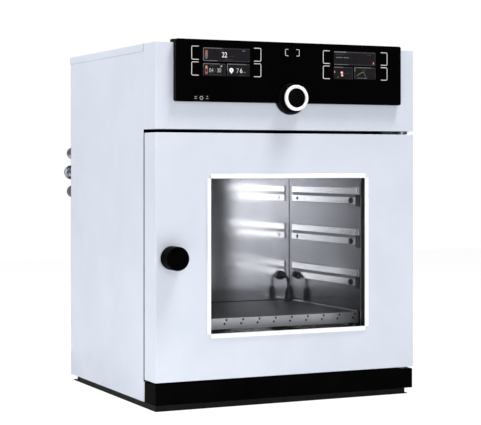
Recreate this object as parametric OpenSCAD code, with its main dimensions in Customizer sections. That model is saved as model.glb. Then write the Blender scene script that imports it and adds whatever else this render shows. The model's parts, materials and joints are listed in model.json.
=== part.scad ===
// Benchtop vacuum drying oven with a glazed door, a heated shelf and a control panel.
// Millimetres. X runs to the right, Y from the front to the back, Z up, and the base stands at Z = 0.

/* [Chamber] */
// Width inside the vacuum chamber
chamber_w = 385; // [340:1:430]
// Height inside the vacuum chamber
chamber_h = 385; // [360:1:430]
// Depth inside the chamber, from the glass to the back wall
chamber_d = 330; // [300:1:400]
// Wall of the welded vessel
vessel_t = 4; // [3:0.5:5]
// Back wall of the vessel
vessel_back_t = 6; // [5:0.5:8]
// Width of the flange round the mouth of the vessel
flange_w = 30; // [28:1:34]
// Thickness of that flange
flange_t = 8; // [6:1:10]
// Stiffening ribs round the vessel
rib_count = 4; // [2:1:5]
// Thickness of a rib
rib_t = 8; // [5:1:10]
// Height of a rib above the vessel wall
rib_h = 22; // [16:1:24]
// Width of the door gasket's base
gasket_w = 14; // [12:0.5:16]
// Width of the gasket's sealing bead
bead_w = 7; // [5:0.5:9]
// Height of the gasket's base
gasket_base = 6; // [4:0.5:7]

/* [Casing] */
// Side build-up, from the chamber wall to the outside of the casing
side_wall = 82.5; // [76:0.5:100]
// Rear build-up, from the chamber's back wall to the outside of the rear panel
rear_wall = 97; // [95:1:120]
// Height of the base rails
base_h = 11; // [9:1:16]
// Height of the front plinth
plinth_h = 37.5; // [30:0.5:50]
// Chamber floor above the lower edge of the door
chamber_rise = 39.6; // [36:0.1:50]
// Door's upper edge above the chamber ceiling
door_head = 33.4; // [32:0.1:45]
// Height of the control header
header_h = 159; // [150:1:180]
// Thickness of the casing sheets
sheet_t = 1.5; // [1:0.1:2]
// Outside radius of a sheet bend
bend_r = 3; // [2.5:0.1:4]
// Inward return along the edges of a side panel
side_return = 8; // [6:0.5:8]
// Thickness of the roof sheet
roof_t = 1.1; // [0.8:0.1:1.5]
// Depth of the roof's skirt
roof_skirt = 14; // [10:1:20]
// Thickness of the insulation under the vessel
floor_insulation = 42; // [36:1:44]
// Thickness of the insulation behind the vessel
rear_insulation = 36; // [30:1:38]

/* [Door] */
// Thickness of the door
door_t = 53; // [52:0.5:60]
// Gap between the closed door and the casing
door_gap = 4; // [3.6:0.1:6]
// Gap below the door, where the lower hinge plate sits
gap_low = 3.9; // [3.6:0.1:5]
// Gap above the door, where the upper hinge plate sits
gap_high = 6.5; // [6:0.1:8]
// Window edge inside the chamber wall, left and right
window_inset_x = 28; // [25:1:40]
// Window edge inside the chamber wall, top and bottom
window_inset_z = 48; // [40:1:60]
// Middle of the window below the middle of the chamber
window_drop = 3; // [0:0.5:6]
// Width of the window trim
trim_w = 8; // [6:0.5:10]
// How far the trim stands out of the door
trim_proud = 3; // [2:0.5:4]
// Splinter guard pane at the front of the door
outer_pane_t = 4; // [3:0.5:5]
// Toughened pane that closes the chamber
inner_pane_t = 15; // [12:0.5:15]
// Pane edge beyond the chamber wall
pane_margin = 23.5; // [22:0.5:24]
// Pane's chamber face in front of the door's back face
pane_sunk = 5; // [4.8:0.1:6]
// Travel of the pane on its springs
pane_travel = 3; // [2:0.5:3.5]
// Clearance between the pane and its recess
pane_gap = 3; // [2:0.5:3.5]
// Wire of a pane spring
spring_wire = 1.2; // [0.8:0.1:1.5]

/* [Hinge and latch] */
// Hinge axis in from the right side of the casing
hinge_inset = 15; // [14:0.5:18]
// Hinge axis behind the door's front face
hinge_depth = 22; // [20:0.5:26]
// Diameter of the hinge pins
hinge_pin_d = 10; // [8:0.5:12]
// Length of pin that runs in a bush
hinge_pin_l = 18; // [14:1:24]
// Radial clearance of a shaft that turns in its bush
running_fit = 0.05; // [0.03:0.01:0.08]
// Knob axis in from the left side of the casing
knob_inset = 31.3; // [28:0.1:34]
// Knob axis below the middle of the chamber
knob_drop = 4; // [0:1:20]
// Diameter of the door knob
knob_d = 44; // [38:1:50]
// How far the knob stands out of the door
knob_proud = 37; // [33:1:45]
// Diameter of the latch spindle
spindle_d = 10; // [8:0.5:12]
// Length of the latch tongue
tongue_l = 32; // [26:1:34]
// Width of the latch tongue
tongue_w = 12; // [11:0.5:13]
// Thickness of the latch tongue
tongue_t = 4.5; // [3:0.5:6]

/* [Rails and shelf] */
// Number of shelf levels
level_count = 4; // [2:1:4]
// Distance between levels
level_pitch = 82; // [60:1:84]
// Lowest ledge above the chamber floor
first_level = 47.5; // [30:0.5:55]
// Front of the rails behind the glass
rail_front = 31; // [30:1:60]
// Back of the rails in front of the back wall
rail_back = 19.5; // [10:0.5:40]
// Depth of a rail's ledge from the wall
ledge_w = 3; // [2.5:0.1:3.4]
// Height of the strip below a ledge
ledge_h = 13.5; // [12.5:0.5:16]
// Height of the guide groove above a ledge
groove_h = 6.6; // [4:0.1:7]
// Height of the guide strip above the groove
guide_h = 13; // [8:0.5:15]
// Depth of the guide strip from the wall
guide_w = 3; // [2.5:0.1:4]
// Thickness of the heated shelf
shelf_t = 20.6; // [16:0.2:22]
// Shelf edge in from the chamber wall
shelf_gap = 6.5; // [6.2:0.1:7.5]
// Front of the shelf behind the glass
shelf_front = 14; // [12:1:30]
// Back of the shelf in front of the back wall
shelf_back = 10; // [6:1:20]
// Shelf socket in from the right chamber wall
socket_inset = 22.5; // [20:0.5:40]
// Shelf socket above the chamber floor
socket_rise = 119; // [105:1:124]
// Diameter of the shelf's lead
lead_d = 6; // [4:0.5:7]
// Bend radius of the shelf's lead
lead_bend = 18; // [14:1:20]

/* [Control panel] */
// Panel edge in from the sides of the casing
panel_inset = 36; // [20:1:60]
// Panel's lower edge above the header's lower edge
panel_rise = 50.6; // [45:0.1:60]
// How far the panel stands in front of the header
panel_t = 12; // [10:0.5:16]
// Height of the panel's hood above the header
hood_h = 6.5; // [4:0.5:10]
// How far the hood reaches back over the header
hood_d = 16; // [10:1:30]
// Thickness of the panel's glass
panel_glass_t = 2.5; // [2:0.5:3]
// Width of a display
display_w = 95; // [80:1:110]
// Height of a display
display_h = 53; // [45:1:60]
// Distance of a display's middle from the middle of the panel
display_x = 137.5; // [110:0.5:150]
// Middle of the displays below the top of the header
display_drop = 34.5; // [30:0.5:40]
// Dial axis above the header's lower edge
dial_rise = 60.1; // [55:0.1:70]
// Outside diameter of the dial
dial_d = 48.7; // [44:0.1:52]
// Inside diameter of the dial's white ring
dial_ring_in = 36.5; // [28:0.1:38]
// Front of the dial in front of the header
dial_proud = 32; // [28:1:40]
// Diameter of the dial's collar
collar_d = 62; // [58:1:70]
// Depth of the dial's collar
collar_t = 13; // [10:0.5:14]
// Diameter of the dial's shaft
dial_shaft_d = 6; // [5:0.5:7]
// Travel of the keys
key_travel = 1.2; // [0.8:0.1:1.6]
// Width of the power key
power_key_w = 34; // [24:1:50]
// Height of the power key
power_key_h = 9; // [7:0.5:11]
// Power key's middle from the left side of the casing
power_key_x = 87; // [75:1:110]

/* [Rear connections] */
// Axis of the connections in from the left side of the casing
port_inset = 22; // [20:0.5:30]
// Vacuum flange above the middle of the chamber
port_rise = 150; // [120:1:160]
// Distance between the connections
port_pitch = 40.5; // [36:0.5:46]
// Outside diameter of the small vacuum flange
vacuum_flange_d = 30; // [30:1:40]
// Bore of the vacuum connection
vacuum_bore = 16; // [12:0.5:16]
// Centring recess of the vacuum flange
centring_d = 17.2; // [17.2:0.1:20]
// How far the vacuum flange stands behind the rear panel
vacuum_proud = 63; // [60:1:80]
// How far the gas fitting and the silencer stand behind the rear panel
nozzle_proud = 54; // [48:1:58]
// Bore of the gas fitting for its tube
nozzle_d = 10; // [8:0.5:12]
// Mains inlet in from the right side of the casing
inlet_inset = 90; // [60:1:140]
// Mains inlet above the header's lower edge
inlet_rise = 55; // [45:1:80]

/* [Hidden] */
$fn = 48;

// Small distances used all over: a cut's overshoot, a running gap and a hair's seat
cut = 1;
gap = 0.3;
seat = 0.05;

// Heights
plinth_z1 = base_h + plinth_h;
door_z0 = plinth_z1 + gap_low;
chamber_z0 = door_z0 + chamber_rise;
chamber_z1 = chamber_z0 + chamber_h;
chamber_mid = (chamber_z0 + chamber_z1) / 2;
window_mid = chamber_mid - window_drop;
door_z1 = chamber_z1 + door_head;
header_z0 = door_z1 + gap_high;
header_z1 = header_z0 + header_h;
floor_z = base_h + sheet_t;
jacket_z0 = chamber_z0 - vessel_t - floor_insulation;

// Widths, as half widths from the middle
half_w = chamber_w / 2 + side_wall;
inner_w = half_w - sheet_t;
jacket_w = half_w - side_return - cut;
mouth_w = chamber_w / 2;

// Depths behind the door's front face
front_d = door_t + door_gap;
frame_y = front_d + sheet_t;
flange_y = frame_y + sheet_t;
glass_y = door_t - pane_sunk;
pane_y = glass_y - inner_pane_t;
recess_y = pane_y - pane_travel - 1;
back_y = glass_y + chamber_d;
vessel_y = back_y + vessel_back_t;
jacket_y = flange_y + flange_t + 0.2;
casing_d = back_y + rear_wall;
rear_y = casing_d - sheet_t;

// The whole object stands centred on the origin, from the knob to the vacuum flange
front_y = (knob_proud - casing_d - vacuum_proud) / 2;

// Ribs are set evenly along the vessel
rib_pitch = (vessel_y - jacket_y - 40) / rib_count;
back_rib_h = 16;

// Door parts
skin_w = half_w - sheet_t;
window_w = mouth_w - window_inset_x;
window_h = chamber_h / 2 - window_inset_z;
pane_w = mouth_w + pane_margin;
pane_h = chamber_h / 2 + pane_margin;
recess_w = pane_w + pane_gap;
recess_h = pane_h + pane_gap;
tunnel = 7;
cup_d = 14;
cup_depth = 12;
guide_d = 5;
corner_in = 12;

// Hinge and latch
hinge_x = half_w - hinge_inset;
bush_wall = 2;
bush_flange_d = hinge_pin_d + 2 * bush_wall + 6;
low_plate_t = gap_low - 1.4;
high_plate_t = gap_high - 1.5;
knob_x = -half_w + knob_inset;
knob_z = chamber_mid - knob_drop;
keeper_t = 2;
tongue_y = flange_y + keeper_t + 0.4;
slot_w = tongue_w + 3;
slot_l = tongue_l + 4;

// Shelf rails
rail_y0 = glass_y + rail_front;
rail_y1 = back_y - rail_back;
rail_screw_z = ledge_h / 2 - 0.5;
front_screw_y = rail_y0 + 21;
rear_screw_y = rail_y1 - 25;
stop_y = rail_y0 - 24;
stop_pin_d = 3;
rail_web = 0.8;

// Heated shelf
shelf_w = mouth_w - shelf_gap;
shelf_y0 = glass_y + shelf_front;
shelf_y1 = back_y - shelf_back;
ledge_z = chamber_z0 + first_level;
shelf_z0 = ledge_z - 1.9;
shelf_z1 = shelf_z0 + shelf_t;
shelf_travel = shelf_front - 1;
shelf_rim_w = mouth_w - rail_web - gap;
shelf_rim_y0 = rail_y0 + shelf_travel + gap;
mark_pitch = 35.1;
mark_d = 4.6;
mark_z = shelf_z1 - 7.15;
socket_x = mouth_w - socket_inset;
socket_z = chamber_z0 + socket_rise;
socket_l = 18;
plug_h = 28;
lead_y0 = back_y - socket_l;
plug_y = lead_y0 - lead_bend - 4;

// Control header and panel
panel_w = half_w - panel_inset;
panel_z0 = header_z0 + panel_rise;
panel_z1 = header_z1 + hood_h;
panel_r = 4;
display_z = header_z1 - display_drop;
display_t = 5;
dial_z = header_z0 + dial_rise;
collar_gap = 0.2;
key_pocket = 6;
ring_t = 5;
power_x = -half_w + power_key_x;
power_z = panel_z0 + power_key_h / 2 + 2;

// Rear connections
port_x = -half_w + port_inset;
port_z = chamber_mid + port_rise;
manifold_y1 = rear_y - 5.5;
manifold_t = 24;
manifold_y0 = manifold_y1 - manifold_t;
pipe_d = 10;
pipe_bore = 8;
pipe_bend = 12;
pipe_y = vessel_y + rear_insulation + 10;
pipe_x = port_x + 93;
shank_d = 16;
fitting_r = 12.6;
hose_depth = 27;
valve_d = 24;
valve_l = 62;
inlet_x = half_w - inlet_inset;
inlet_z = header_z0 + inlet_rise;
screw_d = 4;

// Places a piece that is measured from the door's front face
module from_front() {
    translate([0, front_y, 0])
        children();
}

// Block between two limits on each axis
module block(x, y, z) {
    translate([x[0], y[0], z[0]])
        cube([x[1] - x[0], y[1] - y[0], z[1] - z[0]]);
}

// Cylinder along the depth of the object
module cyl_y(x, z, y0, y1, d) {
    translate([x, y0, z])
        rotate([-90, 0, 0])
            cylinder(h = y1 - y0, d = d);
}

// Cylinder along the width of the object
module cyl_x(y, z, x0, x1, d) {
    translate([x0, y, z])
        rotate([0, 90, 0])
            cylinder(h = x1 - x0, d = d);
}

// Upright cylinder
module cyl_z(x, y, z0, z1, d) {
    translate([x, y, z0])
        cylinder(h = z1 - z0, d = d);
}

// Rectangle with round corners, given by its half sizes
module round_rect(hx, hz, r) {
    square([2 * (hx - r), 2 * hz], center = true);
    square([2 * hx, 2 * (hz - r)], center = true);
    for (sx = [-1, 1], sz = [-1, 1])
        translate([sx * (hx - r), sz * (hz - r)])
            circle(r = r);
}

// Outline in the XZ plane, given a thickness along Y
module plate_y(y0, y1) {
    translate([0, y1, 0])
        rotate([90, 0, 0])
            linear_extrude(y1 - y0)
                children();
}

// Frame round the middle of the chamber, in the XZ plane
module mouth_frame(y0, y1, outer_x, outer_z, r_out, inner_x, inner_z, r_in) {
    plate_y(y0, y1)
        translate([0, chamber_mid])
            difference() {
                round_rect(outer_x, outer_z, r_out);
                round_rect(inner_x, inner_z, r_in);
            }
}

// Block as big as the chamber's mouth and a margin all round
module mouth_block(y0, y1, margin, r) {
    plate_y(y0, y1)
        translate([0, chamber_mid])
            round_rect(mouth_w + margin, chamber_h / 2 + margin, r);
}

// Block as big as the window and a margin all round
module window_block(y0, y1, margin, r) {
    plate_y(y0, y1)
        translate([0, window_mid])
            round_rect(window_w + margin, window_h + margin, r);
}

// Profile turned about an axis that runs along Y, with its height along +Y
module turned_y(x, z, y0) {
    translate([x, y0, z])
        rotate([-90, 0, 0])
            rotate_extrude()
                children();
}

// Hexagon bar along Y, with its width across the flats
module hex_y(x, z, y0, y1, across) {
    translate([x, y0, z])
        rotate([-90, 0, 0])
            cylinder(h = y1 - y0, d = across / cos(30), $fn = 6);
}

// Base

module base_rails() {
    sole_t = 1.5;
    color("dimgray")
        from_front() {
            for (side = [-1, 1])
                mirror([side < 0 ? 1 : 0, 0, 0]) {
                    block([half_w - 21, half_w - 1], [side < 0 ? 0.5 : front_d + 2, casing_d - 42], [0, base_h]);
                    block([half_w - 21, half_w - 1], [casing_d - 42, casing_d - 17], [0, sole_t]);
                }
            block([20 - half_w, half_w - 20], [0.5, front_d - 8], [0, base_h]);
            for (side = [-1, 1])
                mirror([side < 0 ? 1 : 0, 0, 0])
                    block([half_w - 20, half_w - 14], [0.5, front_d - 8], [0, sole_t]);
            block([22 - half_w, half_w - 22], [casing_d - 62, casing_d - 42], [0, base_h]);
        }
}

module base_plate() {
    color("silver")
        from_front()
            block([-inner_w, inner_w], [flange_y, rear_y - 2 * sheet_t], [base_h, floor_z]);
}

module front_plinth() {
    plinth_w = half_w - 1.5;
    color([0.04, 0.04, 0.045])
        from_front() {
            difference() {
                translate([0, 0, base_h])
                    linear_extrude(plinth_h)
                        front_tray(plinth_w, front_d - cut);
                for (side = [-1, 1])
                    cyl_z(side * (half_w - 60), front_d / 2, base_h - cut, floor_z + cut, screw_d);
            }
            block([-plinth_w + sheet_t, plinth_w - sheet_t], [sheet_t, front_d - cut],
                [plinth_z1 - sheet_t, plinth_z1]);
            block([-plinth_w + sheet_t, plinth_w - sheet_t], [sheet_t, front_d - cut], [base_h, floor_z]);
        }
}

// Plan of a folded front: a front sheet with its two sides, open at the back
module front_tray(w, d) {
    difference() {
        translate([0, d])
            round_rect(w, d, bend_r);
        translate([0, d])
            round_rect(w - sheet_t, d - sheet_t, bend_r - sheet_t);
        translate([-w - cut, d])
            square([2 * (w + cut), 2 * d]);
    }
}

module support_beams() {
    beam_w = 40;
    beam_wall = 2;
    front_beam_y = jacket_y + 0.16 * chamber_d;
    rear_beam_y = vessel_y - 0.24 * chamber_d;
    color("gainsboro")
        from_front()
            for (y = [front_beam_y, rear_beam_y])
                difference() {
                    block([-jacket_w, jacket_w], [y, y + beam_w], [floor_z, jacket_z0]);
                    block([-half_w, half_w], [y + beam_wall, y + beam_w + cut],
                        [floor_z + beam_wall, jacket_z0 - beam_wall]);
                }
}

// Casing

// Plan of the right-hand side panel: a sheet with a return at the front and at the back
module side_plan() {
    mid = (front_d + rear_y) / 2;
    run = (rear_y - front_d) / 2;
    intersection() {
        translate([half_w - side_return, front_d])
            square([side_return, 2 * run]);
        translate([0, mid])
            difference() {
                round_rect(half_w, run, bend_r);
                round_rect(half_w - sheet_t, run - sheet_t, bend_r - sheet_t);
            }
    }
}

module side_panel(side) {
    color([0.86, 0.88, 0.92])
        from_front()
            mirror([side < 0 ? 1 : 0, 0, 0])
                difference() {
                    translate([0, 0, base_h])
                        linear_extrude(header_z1 - base_h)
                            side_plan();
                    block([half_w - side_return - cut, half_w + cut], [front_d - cut, frame_y], [plinth_z1, header_z0]);
                }
}

module left_side_panel() {
    side_panel(-1);
}

module right_side_panel() {
    side_panel(1);
}

module roof_panel() {
    corner_r = 6;
    roof_w = half_w + roof_t;
    y0 = front_d + gap;
    y1 = casing_d + roof_t;
    z0 = header_z1 - roof_skirt;
    z1 = header_z1 + roof_t;
    color([0.86, 0.88, 0.92])
        from_front() {
            difference() {
                plate_y(y0, y1)
                    intersection() {
                        translate([0, z1 - half_w])
                            round_rect(roof_w, half_w, bend_r);
                        translate([-roof_w, z0])
                            square([2 * roof_w, z1 - z0]);
                    }
                block([-half_w, half_w], [y0 - cut, y1 + cut], [z0 - cut, header_z1]);
                for (side = [-1, 1])
                    difference() {
                        translate([side * roof_w, y0 + corner_r / 2, z0 + corner_r / 2])
                            cube([4 * roof_t, corner_r + 2 * cut, corner_r + 2 * cut], center = true);
                        cyl_x(y0 + corner_r, z0 + corner_r, -2 * half_w, 2 * half_w, 2 * corner_r);
                        block([-2 * half_w, 2 * half_w], [y0 - cut, y1], [z0 + corner_r, z1]);
                        block([-2 * half_w, 2 * half_w], [y0 + corner_r, y1], [z0 - cut, z1]);
                    }
            }
            block([-half_w, half_w], [casing_d, y1], [z0, header_z1]);
        }
}

module rear_panel() {
    slot_rows = 2;
    slots = 11;
    slot_pitch = 11;
    color([0.86, 0.88, 0.92])
        from_front()
            difference() {
                block([-half_w + cut, half_w - cut], [rear_y, casing_d], [base_h + cut, header_z1]);
                for (k = [-1, 0, 1])
                    cyl_y(port_x, port_z + k * port_pitch, rear_y - cut, casing_d + cut, shank_d + 2 * gap);
                inlet_body(rear_y - cut, casing_d + cut, gap);
                for (row = [0 : slot_rows - 1], k = [0 : slots - 1])
                    vent_slot(-60 + k * slot_pitch, header_z0 + 40 + row * 46);
                for (place = rear_screws)
                    cyl_y(place.x, place.y, rear_y - cut, casing_d + cut, screw_d + 2 * seat);
            }
}

// Upright slot with round ends through the rear panel
module vent_slot(x, z) {
    slot_w = 4;
    slot_h = 34;
    plate_y(rear_y - cut, casing_d + cut)
        translate([x, z + slot_h / 2])
            round_rect(slot_w / 2, slot_h / 2, slot_w / 2 - 0.01);
}

// Places of the rear panel's screws in the XZ plane
rear_screw_rows = 5;
rear_screw_in = 7;
rear_screws = [for (side = [-1, 1], k = [0 : rear_screw_rows - 1])
    [side * (half_w - rear_screw_in),
        base_h + 18 + k * (header_z1 - roof_skirt - base_h - 36) / (rear_screw_rows - 1)]];

module header_shell() {
    color([0.86, 0.88, 0.92])
        from_front()
            difference() {
                union() {
                    translate([0, 0, header_z0])
                        linear_extrude(header_h)
                            front_tray(half_w, front_d);
                    for (z = [header_z0, header_z1 - sheet_t])
                        block([-inner_w, inner_w], [sheet_t, front_d], [z, z + sheet_t]);
                }
                block([-70, 70], [-cut, sheet_t + cut], [display_z - 25, display_z + 25]);
                cyl_y(0, dial_z, -cut, sheet_t + cut, 12);
                block([power_x - 8, power_x + 8], [-cut, sheet_t + cut], [power_z - 5, power_z + 5]);
            }
}

module front_frame() {
    rim = 12;
    rim_w = half_w - 0.5;
    frame_w = inner_w - bend_r + sheet_t;
    open_w = mouth_w + gasket_w + 7;
    open_h = chamber_h / 2 + gasket_w + 7;
    color([0.1, 0.1, 0.11])
        from_front()
            difference() {
                union() {
                    block([-frame_w, frame_w], [frame_y, flange_y], [floor_z, header_z0]);
                    block([-rim_w, rim_w], [front_d, frame_y], [plinth_z1, header_z0]);
                }
                block([rim - rim_w, rim_w - rim], [front_d - cut, frame_y], [plinth_z1 + rim, header_z0 - rim]);
                plate_y(frame_y - cut, flange_y + cut)
                    translate([0, chamber_mid])
                        round_rect(open_w, open_h, 34);
                latch_slot(frame_y - cut, flange_y + cut);
            }
}

// Slot that the latch tongue passes through when the knob is released
module latch_slot(y0, y1) {
    block([knob_x - slot_w / 2, knob_x + slot_w / 2], [y0, y1], [knob_z - slot_l / 2, knob_z + slot_l / 2]);
}

module electronics_tray() {
    color("silver")
        from_front()
            block([-inner_w, inner_w], [flange_y, rear_y - 2 * sheet_t], [header_z0, header_z0 + sheet_t]);
}

// Vacuum chamber

module chamber_vessel() {
    mouth_r = 10;
    color([0.78, 0.79, 0.81])
        from_front()
            difference() {
                union() {
                    mouth_block(flange_y, vessel_y, vessel_t, mouth_r + vessel_t);
                    mouth_block(flange_y, flange_y + flange_t, flange_w, mouth_r + vessel_t);
                }
                mouth_block(flange_y - cut, back_y, 0, mouth_r);
                cyl_y(pipe_x, port_z, back_y - cut, vessel_y + cut, pipe_d + 2 * seat);
                cyl_y(socket_x, socket_z, back_y - cut, vessel_y + cut, 12 + 2 * seat);
                each_rail_screw()
                    cyl_x(0, 0, -3, 0.5, screw_d + 2 * seat);
            }
}

module vessel_ribs() {
    outer_x = mouth_w + vessel_t + rib_h;
    outer_z = chamber_h / 2 + vessel_t + rib_h;
    color("gray")
        from_front() {
            for (k = [1 : rib_count])
                mouth_frame(jacket_y + k * rib_pitch, jacket_y + k * rib_pitch + rib_t, outer_x, outer_z, 20,
                    mouth_w + vessel_t, chamber_h / 2 + vessel_t, 14);
            for (x = [-70, 70])
                block([x, x + rib_t], [vessel_y, vessel_y + back_rib_h],
                    [chamber_z0 + 10, chamber_z1 - 10]);
        }
}

module insulation_jacket() {
    fit = 0.2;
    color("khaki")
        from_front()
            difference() {
                block([-jacket_w, jacket_w], [jacket_y, vessel_y], [jacket_z0, header_z0]);
                plate_y(jacket_y - cut, vessel_y + cut)
                    translate([0, chamber_mid])
                        round_rect(mouth_w + vessel_t + fit, chamber_h / 2 + vessel_t + fit, 14);
                for (k = [1 : rib_count])
                    plate_y(jacket_y + k * rib_pitch - fit, jacket_y + k * rib_pitch + rib_t + fit)
                        translate([0, chamber_mid])
                            round_rect(mouth_w + vessel_t + rib_h + fit, chamber_h / 2 + vessel_t + rib_h + fit, 20);
                cyl_y(knob_x, knob_z, jacket_y - cut, jacket_y + 12, tongue_l + 8);
            }
}

module insulation_back() {
    color("khaki")
        from_front()
            difference() {
                block([-jacket_w, jacket_w], [vessel_y, vessel_y + rear_insulation], [jacket_z0, header_z0]);
                for (x = [-70, 70])
                    block([x - 0.2, x + rib_t + 0.2], [vessel_y - cut, vessel_y + back_rib_h + 0.2],
                        [chamber_z0 + 9.8, chamber_z1 - 9.8]);
                cyl_y(pipe_x, port_z, vessel_y - cut, pipe_y, pipe_d + 2 * gap);
                cyl_y(socket_x, socket_z, vessel_y - cut, vessel_y + 26, 26);
            }
}

module door_gasket() {
    inner = 4.5;
    bead_y = glass_y + gap;
    color([0.2, 0.2, 0.21])
        from_front() {
            mouth_frame(flange_y - gasket_base, flange_y, mouth_w + inner + gasket_w, chamber_h / 2 + inner + gasket_w,
                30, mouth_w + inner, chamber_h / 2 + inner, 16);
            mouth_frame(bead_y + 1.2, flange_y - gasket_base, mouth_w + inner + (gasket_w + bead_w) / 2,
                chamber_h / 2 + inner + (gasket_w + bead_w) / 2, 26,
                mouth_w + inner + (gasket_w - bead_w) / 2, chamber_h / 2 + inner + (gasket_w - bead_w) / 2, 19);
            mouth_frame(bead_y, bead_y + 1.2, mouth_w + inner + (gasket_w + bead_w) / 2 - 1.2,
                chamber_h / 2 + inner + (gasket_w + bead_w) / 2 - 1.2, 25,
                mouth_w + inner + (gasket_w - bead_w) / 2 + 1.2,
                chamber_h / 2 + inner + (gasket_w - bead_w) / 2 + 1.2, 20);
        }
}

// Rails

// Stands a piece on each ledge, with X running from the wall into the chamber
module each_ledge() {
    for (side = [-1, 1], level = [0 : level_count - 1])
        mirror([side > 0 ? 1 : 0, 0, 0])
            translate([-mouth_w, 0, chamber_z0 + first_level + level * level_pitch])
                children();
}

// Outline of a rail: ledge strip, groove and guide strip, from the wall inwards
module rail_outline() {
    polygon([[0, -ledge_h], [ledge_w - 1, -ledge_h], [ledge_w, 1 - ledge_h], [ledge_w, 0], [rail_web, 0],
        [rail_web, groove_h], [guide_w, groove_h], [guide_w, groove_h + guide_h - 1],
        [guide_w - 1, groove_h + guide_h], [0, groove_h + guide_h]]);
}

// Puts a screw's own space at each rail screw, its axis along X and its head towards the chamber
module each_rail_screw() {
    each_ledge()
        for (y = [front_screw_y, rear_screw_y])
            translate([0, y, -rail_screw_z])
                children();
}

module shelf_rails() {
    color([0.8, 0.81, 0.83])
        from_front()
            difference() {
                each_ledge()
                    plate_y(rail_y0, rail_y1)
                        rail_outline();
                each_rail_screw()
                    cyl_x(0, 0, -cut, ledge_w + cut, screw_d + 2 * seat);
            }
}

module rail_screws() {
    color([0.12, 0.12, 0.13])
        from_front()
            each_ledge() {
                rail_screw(front_screw_y, 12, 2.4);
                rail_screw(rear_screw_y, 7, 1.2);
            }
}

module rail_screw(y, head_d, head_h) {
    edge = 0.5;
    translate([0, y, -rail_screw_z]) {
        cyl_x(0, 0, -2.9, ledge_w, screw_d);
        translate([ledge_w, 0, 0])
            rotate([0, 90, 0])
                rotate_extrude()
                    polygon([[0, 0], [head_d / 2, 0], [head_d / 2, head_h - edge], [head_d / 2 - edge, head_h],
                        [0, head_h]]);
    }
}

module rail_stops() {
    stop_w = ledge_w + 1;
    stop_top = groove_h - 2 * gap;
    color([0.15, 0.15, 0.16])
        from_front()
            each_ledge() {
                block([0, stop_w], [stop_y, rail_y0], [-ledge_h - 4.5, stop_top]);
                cyl_z(stop_w / 2, stop_y + 5, stop_top, stop_top + 8, stop_pin_d);
            }
}

module shelf_socket() {
    color([0.35, 0.35, 0.36])
        from_front()
            turned_y(socket_x, socket_z, lead_y0)
                polygon([[0, 0], [5, 0], [7, 2], [7, socket_l - 6], [10, socket_l - 6], [10, socket_l], [6, socket_l],
                    [6, socket_l + vessel_back_t], [9, socket_l + vessel_back_t],
                    [9, socket_l + vessel_back_t + 5], [6, socket_l + vessel_back_t + 5],
                    [6, socket_l + vessel_back_t + 18], [0, socket_l + vessel_back_t + 18]]);
}

// Pipework

// Tube along X from one bend to the other, in the plane z
module chamber_pipe() {
    x0 = port_x + 8;
    color("lightgray")
        from_front()
            difference() {
                pipe_run(x0, pipe_d);
                pipe_run(x0, pipe_bore);
                cyl_y(x0, port_z, manifold_y0 - cut, manifold_y0 + cut, pipe_bore);
                cyl_y(pipe_x, port_z, back_y - cut, vessel_y, pipe_bore);
            }
}

module pipe_run(x0, d) {
    cyl_y(x0, port_z, pipe_y + pipe_bend, manifold_y0, d);
    pipe_elbow(x0 + pipe_bend, pipe_y + pipe_bend, 180, d);
    cyl_x(pipe_y, port_z, x0 + pipe_bend - seat, pipe_x - pipe_bend + seat, d);
    pipe_elbow(pipe_x - pipe_bend, pipe_y - pipe_bend, 0, d);
    cyl_y(pipe_x, port_z, back_y, pipe_y - pipe_bend, d);
}

// Quarter bend of a pipe, about the point x, y
module pipe_elbow(x, y, turn, d) {
    translate([x, y, port_z])
        rotate([0, 0, turn])
            rotate_extrude(angle = 90)
                translate([pipe_bend, 0])
                    circle(d = d);
}

module valve_manifold() {
    color([0.72, 0.73, 0.75])
        from_front()
            difference() {
                block([port_x - 16, port_x + 20], [manifold_y0, manifold_y1],
                    [port_z - port_pitch - 14, port_z + port_pitch + 14]);
                for (k = [-1, 0, 1]) {
                    cyl_y(port_x, port_z + k * port_pitch, manifold_y1 - 12, manifold_y1 + cut, shank_d + 2 * seat);
                    cyl_x((manifold_y0 + manifold_y1) / 2, port_z + k * port_pitch, port_x + 4, port_x + 20 + cut, 10);
                }
                cyl_y(port_x + 8, port_z, manifold_y0 - cut, manifold_y0 + 8, pipe_bore);
            }
}

module solenoid_valves() {
    y = (manifold_y0 + manifold_y1) / 2;
    x = port_x + 20;
    color([0.15, 0.15, 0.17])
        from_front()
            for (k = [-1, 0, 1])
                translate([0, 0, port_z + k * port_pitch]) {
                    cyl_x(y, 0, x - 12, x, 10 - 2 * seat);
                    block([x, x + 16], [y - 11, y + 11], [-13, 13]);
                    cyl_x(y, 0, x + 16, x + valve_l, valve_d);
                    cyl_x(y, 0, x + valve_l, x + valve_l + 5, 8);
                    block([x + 26, x + 46], [y - 8, y + 8], [valve_d / 2 - 2, valve_d / 2 + 5]);
                }
}

module pressure_sensor() {
    z0 = port_z - port_pitch - 14;
    y = (manifold_y0 + manifold_y1) / 2;
    color("gainsboro")
        from_front() {
            cyl_z(port_x, y, z0 - 12, z0, 14);
            cyl_z(port_x, y, z0 - 44, z0 - 12, 22);
            cyl_z(port_x, y, z0 - 54, z0 - 44, 12);
        }
}

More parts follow.
